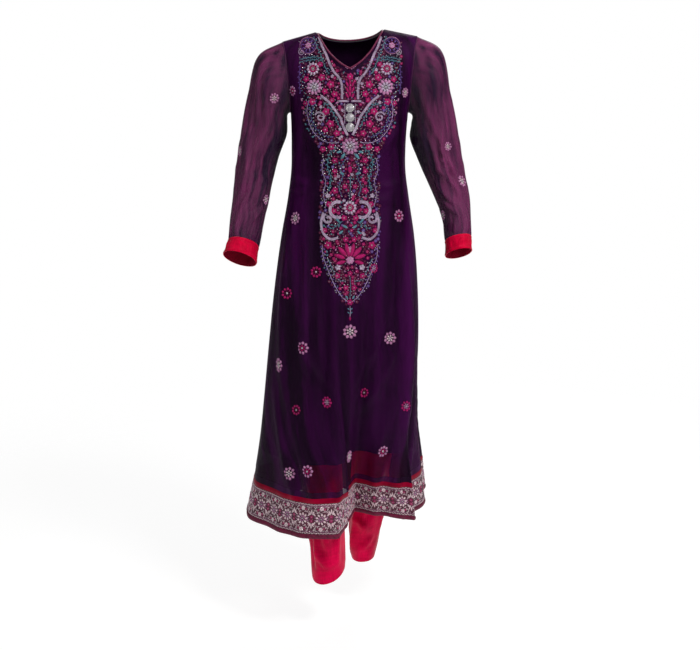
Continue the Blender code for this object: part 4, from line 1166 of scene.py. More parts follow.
def make_salwar():
    """Satin salwar legs, each cut as one piece, and the gathered waistband; returns the legs."""
    legs = {}
    for side in SIDES:
        heights = np.linspace(SALWAR_TOP_Z, LEG_RINGS[side][-1][0] * MM, LEG_ALONG + 1)
        leg = Surface(leg_grid(side, heights, LEG_AROUND), SIDES[side])
        height, across, down = tube_height(leg, LEG_CREASES[side], LEG_GAIN, 0.06, 0.001)
        roll = 0.0011 * hump((down[-1:] - down) / 0.006)
        leg = legs[side] = leg.moved(height * seam_hold(across, 0.014) * ramp(down / 0.05) + roll)
        cloth(f"salwar_cloth_{side}", leg, SATIN_WALL, "salwar",
              f"salwar_leg_{side}", LEG_AROUND // 2)
    turn = turns(WAISTBAND_AROUND)[None, :]
    z = np.linspace(SALWAR_TOP_Z + WAISTBAND_HEIGHT, SALWAR_TOP_Z + SEAM_GAP, 9)[:, None]
    band = Surface(seat_oval(turn, z), 1.0, ring=True)
    across, _ = band.lengths()
    pitch, depth = WAIST_GATHERS
    gathers = -depth * (1 + np.sin(across * 2 * np.pi / pitch + 2 * np.sin(across * 23)))
    cloth("waistband_cloth", band.moved(gathers[:, :-1]), WAISTBAND_WALL, "salwar",
          "salwar_waistband")
    return legs


def make_seams():
    """Rolls over the armhole, side, shoulder and inside leg seams, which close the gaps there."""
    skirts = [panel.points[YOKE_ROWS[side]:YOKE_ROWS[side] + SKIRT_ROWS:2]
              for side, panel in PANELS.items()]
    beside_neck = np.abs(panel_shares("front") - 0.5) * 2 >= NECK_SHARE - 1e-6
    shoulders = PANELS["front"].points[0][beside_neck]
    for side, edge in (("right", 0), ("left", -1)):
        ring = SLEEVES[side].points[0] - [SIDES[side] * SEAM_GAP, 0, 0]
        cord(f"armhole_seam_{side}", ring, ARMHOLE_ROLL, "seam", True)
        cord(f"side_seam_{side}", (skirts[0][:, edge] + skirts[1][:, edge]) / 2, SIDE_ROLL,
             "seam")
        shoulder = shoulders[np.sign(shoulders[:, 0]) == SIDES[side]] + [0, SIDE_SHIFT, 0]
        cord(f"shoulder_seam_{side}", shoulder, SIDE_ROLL, "seam")
        inside = (LEGS[side].points[:, 0] + LEGS[side].points[:, -1]) / 2
        inside = inside[inside[:, 2] < CROTCH_TO_Z]
        cord(f"leg_seam_{side}", inside[::-2][::-1], LEG_ROLL, "salwar")


# A button's turned parts: finish, then radius and height above the cloth at each ring, in
# millimetres.
BUTTON_PARTS = {
    "rim": ("metal", ((0, 0), (8.8, 0), (9.5, 0.8), (9.3, 1.8), (8.5, 2.3), (7.6, 1.9), (7, 2.1),
                      (6.5, 1.7))),
    "pearl": ("pearl", ((6.6, 1), (6.4, 2.4), (5.6, 3.8), (4.2, 4.9), (2.2, 5.6), (0, 5.8))),
}
BUTTON_AROUND, BUTTON_BEADS = 40, 16


def make_buttons():
    """Pearl buttons in beaded silver rims, in place of the plain ones."""
    panel, side = PANELS["front"], np.array([1.0, 0.0, 0.0])
    turn = turns(BUTTON_AROUND)[:, None]
    for number in (1, 2, 3):
        low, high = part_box(f"button_{number}")
        i, j = panel.facing(np.array([0.0]), np.array([(low[2] + high[2]) / 2]))
        out = panel.at(panel.normals, i, j)[0]
        seat = panel.at(panel.points, i, j)[0] + 0.0004 * out
        round_it = np.cos(turn) * side + np.sin(turn) * np.cross(out, side)
        for part, (finish, profile) in BUTTON_PARTS.items():
            radius, rise = MM * np.array(profile).T[..., None, None]
            quads, corners = grid_faces(len(profile), BUTTON_AROUND, True)
            flat = np.stack(np.meshgrid(np.linspace(0, 0.06, BUTTON_AROUND + 1), radius), -1)
            piece = new_piece(f"button_{part}_{number}", seat + (radius * round_it + rise * out),
                              quads, flat.reshape(-1, 2)[corners], finish,
                              f"button_{number}" if part == "rim" else None)
            clean = bmesh.new()
            clean.from_mesh(piece.data)
            bmesh.ops.remove_doubles(clean, verts=clean.verts, dist=1e-6)
            bmesh.ops.recalc_face_normals(clean, faces=clean.faces)
            clean.to_mesh(piece.data)
            clean.free()
        at = turns(BUTTON_BEADS)
        beads = Stitches()
        beads.add("metal", 0.0101 * np.sin(at), 0.0101 * np.cos(at), 0.0, 0.0026, 0.0026, 0.0014)
        WORK.lay("kameez_front", panel, i, j, beads)


def stitch_rows():
    """Topstitching round the cuffs and the salwar's hems."""
    for side in SIDES:
        for surface, part, rows in (
                (CUFFS[side], f"cuff_{side}", (0.22 * CUFF_ROWS, 0.8 * CUFF_ROWS)),
                (LEGS[side], f"salwar_{side}", (LEG_ALONG - 1.6, LEG_ALONG - 4.2))):
            across, _ = surface.lengths()
            for row in rows:
                line = across[int(row)]
                at = evenly(line[-1], int(line[-1] / TOPSTITCH_PITCH))
                i, j = np.full(len(at), row), np.interp(at, line, np.arange(len(line)))
                # Each stitch is turned to run round its tube.
                ahead = surface.at(surface.across, i, j)
                _, level, up = surface.level(i, j)
                turn = np.arctan2((ahead * level).sum(1), (ahead * up).sum(1))
                made = Stitches().add("stitch", 0.0, 0.0, turn, *TOPSTITCH)
                WORK.stitch(part, surface, "stitch", i, j, made.each()["stitch"], "short")


# ---- thread work
class Stitches:
    """Petal-shaped stitches and round beads, as rows of numbers for each thread.

    A row is the stitch's middle across and up, its turn clockwise from up, its length, its
    width and its height, in metres and radians. Methods that add stitches return self.
    """

    def __init__(self):
        self.rows = {}

    def add(self, thread, across, up, turn, length, width, height=0.0012):
        row = np.broadcast_arrays(across, up, turn, length, width, height)
        self.rows.setdefault(thread, []).append(np.stack(row, -1).reshape(-1, 6).astype(float))
        return self

    def each(self):
        return {thread: np.concatenate(rows) for thread, rows in self.rows.items()}

    def put(self, other, across=0.0, up=0.0, turn=0.0, size=1.0):
        """Adds another's stitches, turned, sized and moved."""
        for thread, rows in other.each().items():
            x, y = rows[:, 0] * size, rows[:, 1] * size
            rows[:, 0] = across + x * np.cos(turn) + y * np.sin(turn)
            rows[:, 1] = up + y * np.cos(turn) - x * np.sin(turn)
            rows[:, 2] += turn
            rows[:, 3:5] *= size
            self.rows.setdefault(thread, []).append(rows)
        return self

    def mirrored(self):
        """The same stitches on the other side of the middle."""
        other = Stitches()
        for thread, rows in self.each().items():
            other.rows[thread] = [rows * np.array([-1.0, 1, -1, 1, 1, 1])]
        return other

    def ring(self, thread, count, radius, length, width, start=0.0, height=0.0013):
        """Petals round a middle, each pointing outwards."""
        turn = start + turns(count)
        return self.add(thread, radius * np.sin(turn), radius * np.cos(turn), turn, length, width,
                        height)

    def bead(self, thread, across, up, radius):
        return self.add(thread, across, up, 0.0, 2 * radius, 2 * radius, 0.9 * radius)

    def braid(self, thread, path, pitch, width, height=0.0016):
        """A cord of slanted stitches in pairs, laid along a path."""
        spots, turn = spaced(path, pitch)
        for hand in (-1, 1):
            over, up = np.cos(turn) * hand * width * 0.22, -np.sin(turn) * hand * width * 0.22
            self.add(thread, spots[:, 0] + over, spots[:, 1] + up, turn + hand * 0.55,
                     pitch * 1.75, width * 0.52, height)
        return self

    def stem(self, thread, path, pitch=0.0036, width=0.0017, height=0.0009):
        """Stem stitches: each lies a little across the line, over the end of the last."""
        spots, turn = spaced(path, pitch)
        return self.add(thread, *spots.T, turn + 0.16, pitch * 1.45, width, height)

    def vine(self, thread, leaf_thread, path, leaf, pitch):
        """A stem with leaves on both sides by turns, smaller towards its end."""
        self.stem(thread, path)
        spots, turn = spaced(path, pitch)
        number = np.arange(len(spots))
        small = leaf * (1.0 - 0.35 * number / max(len(spots) - 1, 1))
        way = turn + LEAF_LEAN * np.where(number % 2, 1.0, -1.0)
        return self.add(leaf_thread, spots[:, 0] + np.sin(way) * small * 0.56,
                        spots[:, 1] + np.cos(way) * small * 0.56, way, small,
                        small * LEAF_WIDTH, 0.0011)

    def draw(self, *lines):
        """Adds lines in order: kind and threads, measures in millimetres, and the path.

        A path is across and up by turns, in millimetres, or ready spots in metres.
        """
        for kind_and_threads, *sizes, path in lines:
            kind, *threads = kind_and_threads.split()
            if isinstance(path, tuple):
                path = MM * np.array(path, float).reshape(-1, 2)
            getattr(self, kind)(*threads, path, *(MM * size for size in sizes))
        return self

    def scatter(self, thread, table, spin, size=1.0):
        """Small flowers at a table's places: across, up and size in millimetres."""
        for x, z, reach in MM * np.array(table):
            self.put(blossom(thread, size * reach), x, z, spin * x)
        return self


LEAF_LEAN, LEAF_WIDTH = 0.85, 0.42


def spaced(path, pitch):
    """Spots at an even pitch on a smooth curve through a path's points, and its turn at each."""
    knots = travelled(path)
    fine = smooth(np.linspace(0, knots[-1], 24 * len(path)), knots, path)
    travel = travelled(fine)
    count = max(int(round(travel[-1] / pitch)), 2)
    at = evenly(travel[-1], count)
    spots = np.stack([np.interp(at, travel, fine[:, axis]) for axis in (0, 1)], -1)
    step = np.gradient(spots, axis=0)
    return spots, np.arctan2(step[:, 0], step[:, 1])


def curl(across, up, size, start, rounds, hand=1.0, close=0.25):
    """Path of a scroll: a circle's point, whose radius shrinks to the share close."""
    t = np.linspace(0, 1, int(12 * rounds) + 6)
    radius = size * (1 - (1 - close) * t)
    turn = start + hand * 2 * np.pi * rounds * t
    return np.stack([across + radius * np.sin(turn), up + radius * np.cos(turn)], -1)


def blossom(thread, size, petals=5, middle="pearl"):
    """A small flower: rounded petals round a bead."""
    made = Stitches().ring(thread, petals, size * 0.54, size * 0.92, size * 0.8, 0.2)
    return made.bead(middle, 0.0, 0.0, size * 0.22)


def rosette(size, outer, inner):
    """A round flower of two rings of petals, a beaded ring and a domed middle."""
    made = Stitches().ring(outer, 11, size * 0.76, size * 0.52, size * 0.42, 0.0, 0.0017)
    made.ring(inner, 8, size * 0.45, size * 0.44, size * 0.31, 0.3, 0.0016)
    turn = turns(9)
    made.bead("metal", size * 0.26 * np.sin(turn), size * 0.26 * np.cos(turn), size * 0.065)
    return made.bead("pearl", 0.0, 0.0, size * 0.17)


def roundel(size, outer, inner, turn=0.0):
    """A round sprig motif, turned: a ring of broad petals, a star of buds and a bead."""
    made = Stitches().ring(outer, 9, size * 0.76, size * 0.5, size * 0.46, 0.13, 0.0019)
    made.ring(inner, 6, size * 0.36, size * 0.36, size * 0.27, 0.0, 0.0016)
    return Stitches().put(made.bead("pearl", 0.0, 0.0, size * 0.17), turn=turn)


def unit_shape(rows, columns, pointed):
    """A small padded shape one unit long and wide: a square grid drawn out to a disc.

    pointed narrows its far end. The height is 1 in the middle, and the rim is marked by -1.
    """
    v, u = np.meshgrid(np.linspace(-1, 1, rows), np.linspace(-1, 1, columns), indexing="ij")
    across, along = u * np.sqrt(1 - v * v / 2), v * np.sqrt(1 - u * u / 2)
    radius = np.clip(np.hypot(across, along), 0, 1)
    rim = (np.abs(u) == 1) | (np.abs(v) == 1)
    high = np.where(rim, -1.0, np.sqrt(1 - radius ** 2))
    narrow = 1 - pointed * np.clip(along, 0, 1) ** 2 - 0.4 * pointed * np.clip(-along, 0, 1) ** 2
    return (across * narrow).ravel() / 2, along.ravel() / 2, high.ravel()


RIM_SINK = 0.0004
ROUND_THREADS = ("pearl", "metal")
UNIT_GRIDS = {"petal": (5, 4, 0.6), "round": (4, 4, 0.0), "short": (4, 3, 0.35)}


class Embroidery:
    """Thread work gathered by garment part and thread; each gathering becomes one piece."""

    def __init__(self):
        self.kept = {}

    def stitch(self, part, surface, thread, i, j, rows, shape):
        """Lays one stitch from each anchor, at row i and column j of a surface.

        Sideways is the cloth's level direction as seen from outside, and up is square to it.
        Each point is then moved to the nearest place on the cloth and lifted off it.
        """
        shape = "round" if thread in ROUND_THREADS else shape
        _, side, rising = surface.level(i, j)
        across, along, high = unit_shape(*UNIT_GRIDS[shape])
        x, y, turn, length, width, height = rows.T[..., None]
        across, along = across * width, along * length
        x = x + across * np.cos(turn) + along * np.sin(turn)
        y = y + along * np.cos(turn) - across * np.sin(turn)
        spots = (surface.at(surface.points, i, j)[:, None] + x[..., None] * side[:, None]
                 + y[..., None] * rising[:, None])
        row, place = surface.nearest(spots, i[:, None] + 0 * x, j[:, None] + 0 * x)
        lift = np.where(high < 0, -RIM_SINK, high * height)[..., None]
        points = (surface.at(surface.points, row, place)
                  + lift * surface.at(surface.normals, row, place))
        # Each stitch's threads start from a place of their own.
        flat = np.stack([along, across], -1) + 0.013 * np.arange(len(rows))[:, None, None]
        self.kept.setdefault((part, thread), []).append((shape, points, flat))

    def lay(self, part, surface, i, j, stitches):
        """Lays a motif's stitches round one anchor, at row i and column j."""
        for thread, rows in stitches.each().items():
            spots = np.broadcast_to(np.reshape([i, j], (2, 1)), (2, len(rows)))
            self.stitch(part, surface, thread, *spots, rows, "petal")

    def spread(self, part, surface, stitches, anchors, shape):
        """Lays each stitch at an anchor of its own: anchors turns across and up to i and j."""
        for thread, rows in stitches.each().items():
            i, j = anchors(rows[:, 0], rows[:, 1])
            rows[:, :2] = 0.0
            self.stitch(part, surface, thread, i, j, rows, shape)

    def pieces(self, part):
        """Makes the pieces of a garment part, one for each thread, and names them."""
        names = []
        for (owner, thread), groups in self.kept.items():
            if owner != part:
                continue
            faces, flats, count = [], [], 0
            for shape, spots, flat in groups:
                quads = grid_faces(*UNIT_GRIDS[shape][:2], flipped=True)[0]
                first = count + spots.shape[1] * np.arange(len(spots))
                faces.append((quads + first[:, None, None]).reshape(-1, 4))
                flats.append(flat[:, quads].reshape(-1, 2))
                count += spots.shape[0] * spots.shape[1]
            points = np.concatenate([spots.reshape(-1, 3) for _, spots, _ in groups])
            names.append(f"{thread}_work_{part}")
            new_piece(names[-1], points, np.concatenate(faces), np.concatenate(flats), thread)
        return names


WORK = Embroidery()


# ---- the design
# Places on the front and back are x and z in millimetres, as seen facing the suit.
# Height and half width of the yoke's thread work.
WORK_OUTLINE = MM * np.array((
    (-20, 122), (-100, 120), (-165, 112), (-222, 104), (-262, 78), (-300, 68), (-380, 72),
    (-480, 73), (-555, 62), (-600, 42), (-636, 16)))
# Round sprigs scattered over the cloth: x, z, radius and the thread of their petals.
FRONT_SPRIGS = (
    (-132, -441, 16, "silver"), (118, -435, 15.5, "silver"), (96, -725, 16, "silver"),
    (-115, -744, 16.5, "silver"), (-174, -795, 18.5, "silver"), (81, -1013, 16, "silver"),
    (-148, -1050, 16.5, "silver"), (-103, -1034, 16, "silver"), (-2, -1018, 16, "silver"),
    (-136, -140, 12.5, "silver"), (131, -144, 12.5, "silver"), (-81, -564, 14, "pink"),
    (57, -554, 12, "pink"), (-152, -620, 14.5, "pink"), (-55, -871, 15, "pink"),
    (34, -859, 13, "pink"), (138, -900, 14, "pink"), (-130, -896, 13, "pink"),
)
BACK_SPRIGS = (
    (-72, -130, 14.5, "silver"), (74, -128, 14.5, "silver"), (2, -205, 15, "pink"),
    (-104, -268, 14, "pink"), (98, -290, 14.5, "silver"), (-40, -352, 15, "silver"),
    (62, -440, 15, "pink"), (-118, -470, 15.5, "silver"), (2, -545, 15.5, "silver"),
    (128, -590, 15.5, "silver"), (-88, -640, 14.5, "pink"), (52, -700, 15, "pink"),
    (-154, -770, 16, "silver"), (-20, -800, 16, "silver"), (116, -850, 16, "silver"),
    (-96, -930, 15, "pink"), (30, -975, 16, "silver"), (150, -1020, 15, "pink"),
    (-160, -1040, 16, "silver"),
)
# On a sleeve: degrees round it from the outer side over the front, down it, and radius.
SLEEVE_SPRIGS = {"right": (
    (108, 58, 13), (30, 215, 13), (152, 330, 13.5), (210, 190, 13.5), (300, 300, 13.5),
    (250, 420, 13),
), "left": (
    (340, 60, 13), (64, 205, 11.5), (47, 300, 15), (160, 380, 13), (215, 180, 13.5),
    (300, 270, 13.5), (250, 400, 13),
)}
# Outer and inner petals of every other sprig, by the name in the tables.
SPRIG_THREADS = {"silver": (("rose", "bright"), ("rose", "pink")),
                 "pink": (("pink", "rose"), ("pink", "wine"))}
SHOULDER_ROSE = (0.099, -0.034)
PLACKET = (-0.16, -0.24)  # heights between which the ground beside the buttons is bare
SIDE_SHARE = 0.66  # of the work's half width, where its sides begin
BLOOM = 1.35  # how much larger the scattered flowers open than their tables


def outline_half(z):
    return read_at(z, WORK_OUTLINE)[0]


def neck_z(x):
    """Height of the front neck edge at each distance from the middle."""
    across = np.clip(np.abs(x) / NECK_HALF_WIDTH, 0, 1)
    drop = NECK_DEPTH["front"] * read_at(across, NECK_CURVE)[0]
    return np.where(np.abs(x) < NECK_HALF_WIDTH, -drop, shoulder_z(x))


def on_ground(x, z, side_gap, neck_gap, bare):
    """Whether a place lies inside the work's outline, under the neck and off the placket."""
    inside = (np.abs(x) < outline_half(z) - side_gap) & (z < neck_z(x) - neck_gap)
    return inside & ~((np.abs(x) < bare) & (z < PLACKET[0]) & (z > PLACKET[1]))


def yoke_half():
    """One half of the work round the neck, from the shoulder to the closing scrolls."""
    half = Stitches().draw(
        ("braid silver", 3.2, 5.8, 2.0, (
            74, -14, 66, -36, 55, -58, 47, -78, 37, -96, 25, -110, 20, -122, 18.8, -138,
            18.8, -158)),
        ("braid silver", 3.0, 4.4, (3, -162.5, 12, -162, 26, -162.5)),
        ("stem silver", 3.4, 2.0, (12.5, -168, 12, -190, 12.5, -214)),
        ("vine teal teal", 6.2, 5.8, (86, -12, 78, -36, 68, -58, 60, -80, 50, -100)),
        ("stem rose", 3.6, 1.6, curl(*SHOULDER_ROSE, 0.0195, 0.0, 1.0, 1.0, 1.0)),
        ("stem violet", 3.6, 1.6, curl(*SHOULDER_ROSE, 0.0165, 0.0, 1.0, 1.0, 1.0)))
    half.put(Stitches().ring("violet", 9, 0.012, 0.008, 0.0038), *SHOULDER_ROSE)
    half.put(blossom("rose", 0.0085, 6), *SHOULDER_ROSE)
    half.put(rosette(0.0155, "silver", "pink"), 0.087, -0.088)
    half.put(rosette(0.019, "rose", "silver"), 0.084, -0.13)
    half.draw(
        ("stem silver", 3.0, 1.8, curl(0.114, -0.05, 0.008, 0.2, 1.4, 1.0, 0.2)),
        ("vine teal teal", 5.2, 5.0, (64, -64, 82, -61, 100, -63, 119, -67)),
        ("vine teal teal", 5.2, 5.0, (64, -70.2, 82, -67.2, 100, -69.2, 119, -73.2)),
        ("vine wine teal", 7.0, 6.6, (103, -82, 112, -104, 113, -130, 106, -152)),
        ("vine violet violet", 6.2, 6.4, (117, -78, 120, -110, 117, -146)),
        ("braid silver", 3.0, 6.0, 1.8, (
            68, -150, 50, -164, 34, -184, 23, -200, 15, -222, 6, -240)),
        ("vine teal teal", 7.0, 5.8, (62, -164, 46, -180, 34, -200, 24, -222)),
        ("vine silver violet", 7.4, 5.2, (
            96, -160, 101, -182, 98, -206, 88, -230, 72, -248, 50, -258, 26, -258)),
        ("vine violet teal", 6.4, 5.6, (
            78, -160, 88, -180, 91, -202, 82, -222, 66, -238, 44, -246)),
        ("braid silver", 3.0, 4.2, curl(0.07, -0.199, 0.0125, 1.2, 1.25, -1.0, 0.22)))
    half.scatter("pink", (
        (56, -186, 7), (46, -214, 7.5), (31, -236, 6.5), (88, -164, 7), (105, -168, 5.5),
        (58, -228, 6), (66, -108, 7), (45, -124, 7.5), (59, -140, 6), (36, -146, 6.5),
        (42, -160, 5), (70, -78, 5.5), (103, -112, 6)), 3, BLOOM)
    x, z, turn = np.array(((53, -112, 0.6), (30, -130, 2.4), (30, -166, 2.0), (74, -214, 2.6),
                           (109, -190, 2.8), (114, -160, 0.4))).T
    return half.add("rose", MM * x, MM * z, turn, 0.009, 0.0046, 0.0014)


def body_half():
    """One half of the tapering work below the yoke: leafy stems, facing scrolls, open flower."""
    half = Stitches()
    half.add("teal", 0.0165, -0.29, 2.5, 0.02, 0.008, 0.0016)
    half.add("teal", 0.026, -0.28, 1.9, 0.014, 0.006, 0.0014)
    half.draw(
        ("vine teal teal", 7.8, 5.6, (30, -268, 48, -286, 53, -316, 45, -344, 51, -372)),
        ("vine silver violet", 7.4, 5.6, (62, -296, 66, -324, 58, -350, 63, -382, 57, -410)),
        ("vine teal violet", 6.0, 5.4, (12, -300, 22, -318, 18, -340, 26, -362, 20, -384)))
    half.add("teal", 0.019, -0.331, 1.1, 0.015, 0.0062, 0.0014)
    half.put(blossom("silver", 0.0065), 0.053, -0.384)
    half.draw(
        ("braid silver", 3.4, 8.5, 2.0, curl(0.029, -0.418, 0.02, -0.3, 0.62, 1.0, 0.85)),
        ("braid silver", 3.0, 5.6, curl(0.052, -0.438, 0.0125, 0.5, 1.15, 1.0, 0.2)),
        ("braid silver", 3.2, 6.2, (64, -424, 69, -450, 62, -474, 46, -486, 28, -482)),
        ("vine teal teal", 9.0, 7.0, (18, -444, 34, -456, 48, -462)))
    for x, z, turn in ((0.012, -0.456, 1.0), (0.022, -0.47, 2.2), (0.03, -0.44, 0.6)):
        half.add("teal", x, z, turn, 0.015, 0.0062, 0.0015)
    half.scatter("pink", (
        (64, -274, 6.2), (44, -268, 7.2), (36, -300, 6), (36, -326, 5.2), (36, -372, 6.6),
        (12, -362, 5), (50, -404, 6), (14, -436, 6), (38, -420, 5.8), (60, -466, 5.2),
        (10, -486, 5.8), (52, -500, 7.4), (10, -600, 5.6), (30, -572, 5.8)), 5, BLOOM)
    # Large open flower: long padded petals, each between two dark stems.
    for turn, reach, long, wide in ((0.24, 0.024, 0.036, 0.0115), (0.74, 0.026, 0.034, 0.0115),
                                    (1.26, 0.026, 0.03, 0.0105), (1.85, 0.023, 0.026, 0.0095)):
        ahead = np.array([np.sin(turn), np.cos(turn)])
        aside = np.array([np.cos(turn), -np.sin(turn)])
        middle = np.array([0.0, -0.534]) + reach * ahead
        half.add("pink", *middle, turn, long, wide, 0.0026)
        along, out = np.array(((-0.46, 0.12), (-0.15, 0.52), (0.18, 0.48), (0.48, 0.1))).T
        for hand in (-1, 1):
            edge = middle + np.outer(along, long * ahead) + np.outer(out, hand * wide * aside)
            half.stem("wine", edge, 0.0032, 0.0014, 0.001)
    half.draw(
        ("vine silver violet", 8.4, 5.4, (
            66, -498, 64, -526, 55, -552, 45, -576, 33, -600, 18, -622, 4, -634)),
        ("vine teal silver", 6.6, 5.6, (52, -532, 40, -560, 26, -582, 10, -584)))
    half.put(blossom("silver", 0.008), 0.029, -0.552)
    return half.add("teal", 0.008, -0.622, 0.6, 0.011, 0.005, 0.0013)


def middle_line():
    """Work on the middle line: the fill under the neck, the rosettes, the drop and the tip."""
    made = Stitches().put(blossom("pink", 0.009, 6), 0.0, -0.106)
    for z, size in ((-0.12, 0.015), (-0.133, 0.0165), (-0.146, 0.015)):
        made.add("pink", 0.0, z, 0.0, size, 0.0062, 0.0022)
        for hand in (-1, 1):
            made.add("pink", 0.0068 * hand, z - 0.003, 0.42 * hand, size, 0.0056, 0.0019)
    made.put(rosette(0.0205, "rose", "silver"), 0.0, -0.266)
    made.add("pink", 0.0, -0.322, np.pi, 0.022, 0.0105, 0.0024)
    made.ring("rose", 5, 0.008, 0.007, 0.0034)
    made.put(rosette(0.0165, "silver", "pink"), 0.0, -0.412)
    made.draw(("stem teal", (0, -338, 1, -360, -1, -388)))
    for thread, size, petals, z in (("rose", 0.009, 7, -0.51), ("rose", 0.0105, 8, -0.535),
                                    ("pink", 0.007, 5, -0.566), ("pink", 0.008, 5, -0.634)):
        made.put(blossom(thread, size, petals), 0.0, z)
    made.draw(("stem teal", (0, -574, 1, -596, 0, -622)),
              ("stem silver", (0, -644, 1, -656, 0, -668)))
    made.add("pink", 0.0, -0.673, np.pi, 0.01, 0.0052, 0.0018)
    for z, turn in ((-0.65, 0.9), (-0.659, 1.0)):
        made.add("teal", [0.0035, -0.0035], z, [turn, -turn], 0.007, 0.003)
    return made.put(roundel(0.0175, "rose", "bright"), 0.0, -0.704)


# Kinds of filling sprigs, by turns: in the middle of the ground, at its sides and low down.
FILLINGS = {
    "middle": ("pink", "wine", "violet", "wine", "pink", "silver", "wine", "bead", "pink", "wine",
               "rose", "teal"),
    "sides": ("violet", "wine", "wine", "violet", "bead", "wine", "pink", "teal", "wine", "wine"),
    "low": ("wine", "pink", "wine", "rose", "wine", "pink"),
}
FILLING_STEP, FILLING_JITTER, LOW_FROM_Z = 0.005, 0.0022, -0.48


def filler(taken):
    """Small sprigs and seed beads in the gaps of the outlined ground, evenly but not in rows."""
    chance = np.random.default_rng(11)
    made = Stitches()
    x, z = np.meshgrid(np.arange(-0.12, 0.1201, FILLING_STEP),
                       np.arange(-0.632, -0.006, FILLING_STEP))
    x = (x + chance.uniform(-FILLING_JITTER, FILLING_JITTER, x.shape)).ravel()
    z = z.ravel() + chance.uniform(-FILLING_JITTER, FILLING_JITTER, z.size)
    inside = on_ground(x, z, 0.0, 0.013, 0.013)
    x, z = x[inside], z[inside]
    near = np.full(len(x), 1.0)
    for rows in taken.each().values():
        reach = 0.5 * np.maximum(0.55 * rows[:, 3], rows[:, 4])
        far = np.hypot(x[:, None] - rows[None, :, 0], z[:, None] - rows[None, :, 1]) - reach
        near = np.minimum(near, far.min(axis=1))
    placed = np.zeros((0, 2))
    for number in np.flatnonzero(near > 0.001):
        spot = np.array([x[number], z[number]])
        if len(placed) and np.hypot(*(placed - spot).T).min() < FILLING_STEP:
            continue
        placed = np.concatenate([placed, spot[None]])
        zone = "middle" if spot[1] > LOW_FROM_Z else "low"
        if abs(spot[0]) > SIDE_SHARE * outline_half(spot[1]):
            zone = "sides"
        kind = FILLINGS[zone][len(placed) % len(FILLINGS[zone])]
        room = min(near[number], 0.0046)
        turn = chance.uniform(0, 2 * np.pi)
        if kind == "bead" or room < 0.0026:
            made.bead("metal", *spot, 0.0013)
        elif kind in ("pink", "silver", "wine", "violet"):
            made.put(blossom(kind, room, 5, "metal"), *spot, turn)
        else:
            way = turn + np.array([-0.7, 0.0, 0.7])
            made.add(kind, spot[0] + 0.5 * room * np.sin(way), spot[1] + 0.5 * room * np.cos(way),
                     way, 1.1 * room, 0.42 * room, 0.001)
    return made


def ground_stitches():
    """Low wine stitches in leaning rows under the rest of the work, sparse towards its sides."""
    step = 0.0074
    x, z = np.meshgrid(np.arange(-17, 17) * step + 0.5 * step, -0.01 - step * np.arange(86))
    x = x + 0.25 * step * np.where(np.arange(len(x)) % 2, 1.0, -1.0)[:, None]
    z = z + 0.0014 * np.sin(310 * x)
    inside = on_ground(x, z, 0.004, 0.012, 0.011)
    patch = np.sin(150 * np.abs(x) + 40 * z) + np.sin(115 * z - 70 * np.abs(x))
    inside &= patch > np.where(np.abs(x) < SIDE_SHARE * outline_half(z), -0.9, 0.8)
    x, z = x[inside], z[inside]
    turn = 0.9 * np.sign(x) + 0.7 * np.sin(95 * z + 60 * np.abs(x))
    return Stitches().add("wine", x, z, turn, 0.0086, 0.0044, 0.0006)


def neck_work():
    """All the work of the yoke and the panel below it."""
    half = yoke_half().put(body_half())
    made = Stitches().put(half).put(half.mirrored()).put(middle_line())
    return made.put(filler(made)).put(ground_stitches())


BORDER_REPEAT, BORDER_SCALE = 0.044, 1.12


def border_repeat():
    """One repeat of the border: an open flower, palmettes between flowers, and filling sprigs.

    Up is metres from the strip's middle line, before the border's scale.
    """
    made = Stitches().ring("bright", 9, 0.0098, 0.008, 0.006, 0.1)
    made.ring("rose", 7, 0.005, 0.0052, 0.0036, 0.4).bead("pearl", 0.0, 0.0, 0.002)
    at = 0.5 * BORDER_REPEAT
    for flip in (1.0, -1.0):
        for way, long in ((-1.15, 0.0085), (-0.6, 0.0105), (0.0, 0.0125), (0.6, 0.0105),
                          (1.15, 0.0085)):
            turn = way if flip > 0 else np.pi - way
            made.add("bright", at + 0.62 * long * np.sin(turn),
                     flip * 0.0085 + 0.62 * long * np.cos(turn), turn, long, 0.004, 0.0013)
        made.put(blossom("pink", 0.0045, 5, "metal"), at, flip * 0.0045)
        made.put(blossom("bright", 0.0058, 6, "metal"), 0.0, flip * 0.0225)
        for hand in (-1, 1):
            path = np.array(((3.5, 15), (11, 16.5), (15, 23), (10.5, 27.5))) * MM
            made.vine("bright", "bright", path * [hand, flip], 0.0058, 0.0048)
            made.add("bright", hand * 0.015, flip * 0.0085, hand * (1.57 - flip * 0.7), 0.0075,
                     0.0036)
            made.add("rose", hand * 0.0128, flip * 0.003, hand * 1.57, 0.006, 0.003)
            made.put(blossom("pink", 0.0034, 5, "metal"), hand * 0.0072, flip * 0.0206)
    return made


def border_edges(length):
    """Rows along the border's two edges: slanted stitches, a stem line and beads."""
    made = Stitches()
    count = int(length / 0.0044)
    at = evenly(length, count)
    slant = 0.7 * np.where(np.arange(count) % 2, 1, -1)
    for flip in (1.0, -1.0):
        made.add("bright", at, flip * 0.0345, slant + 1.57, 0.0062, 0.0027)
        made.add("rose", at, flip * 0.0308, 1.57 + 0.16, 0.006, 0.0015, 0.0009)
        made.bead("metal", at[::2], flip * 0.0288, 0.0011)
    return made


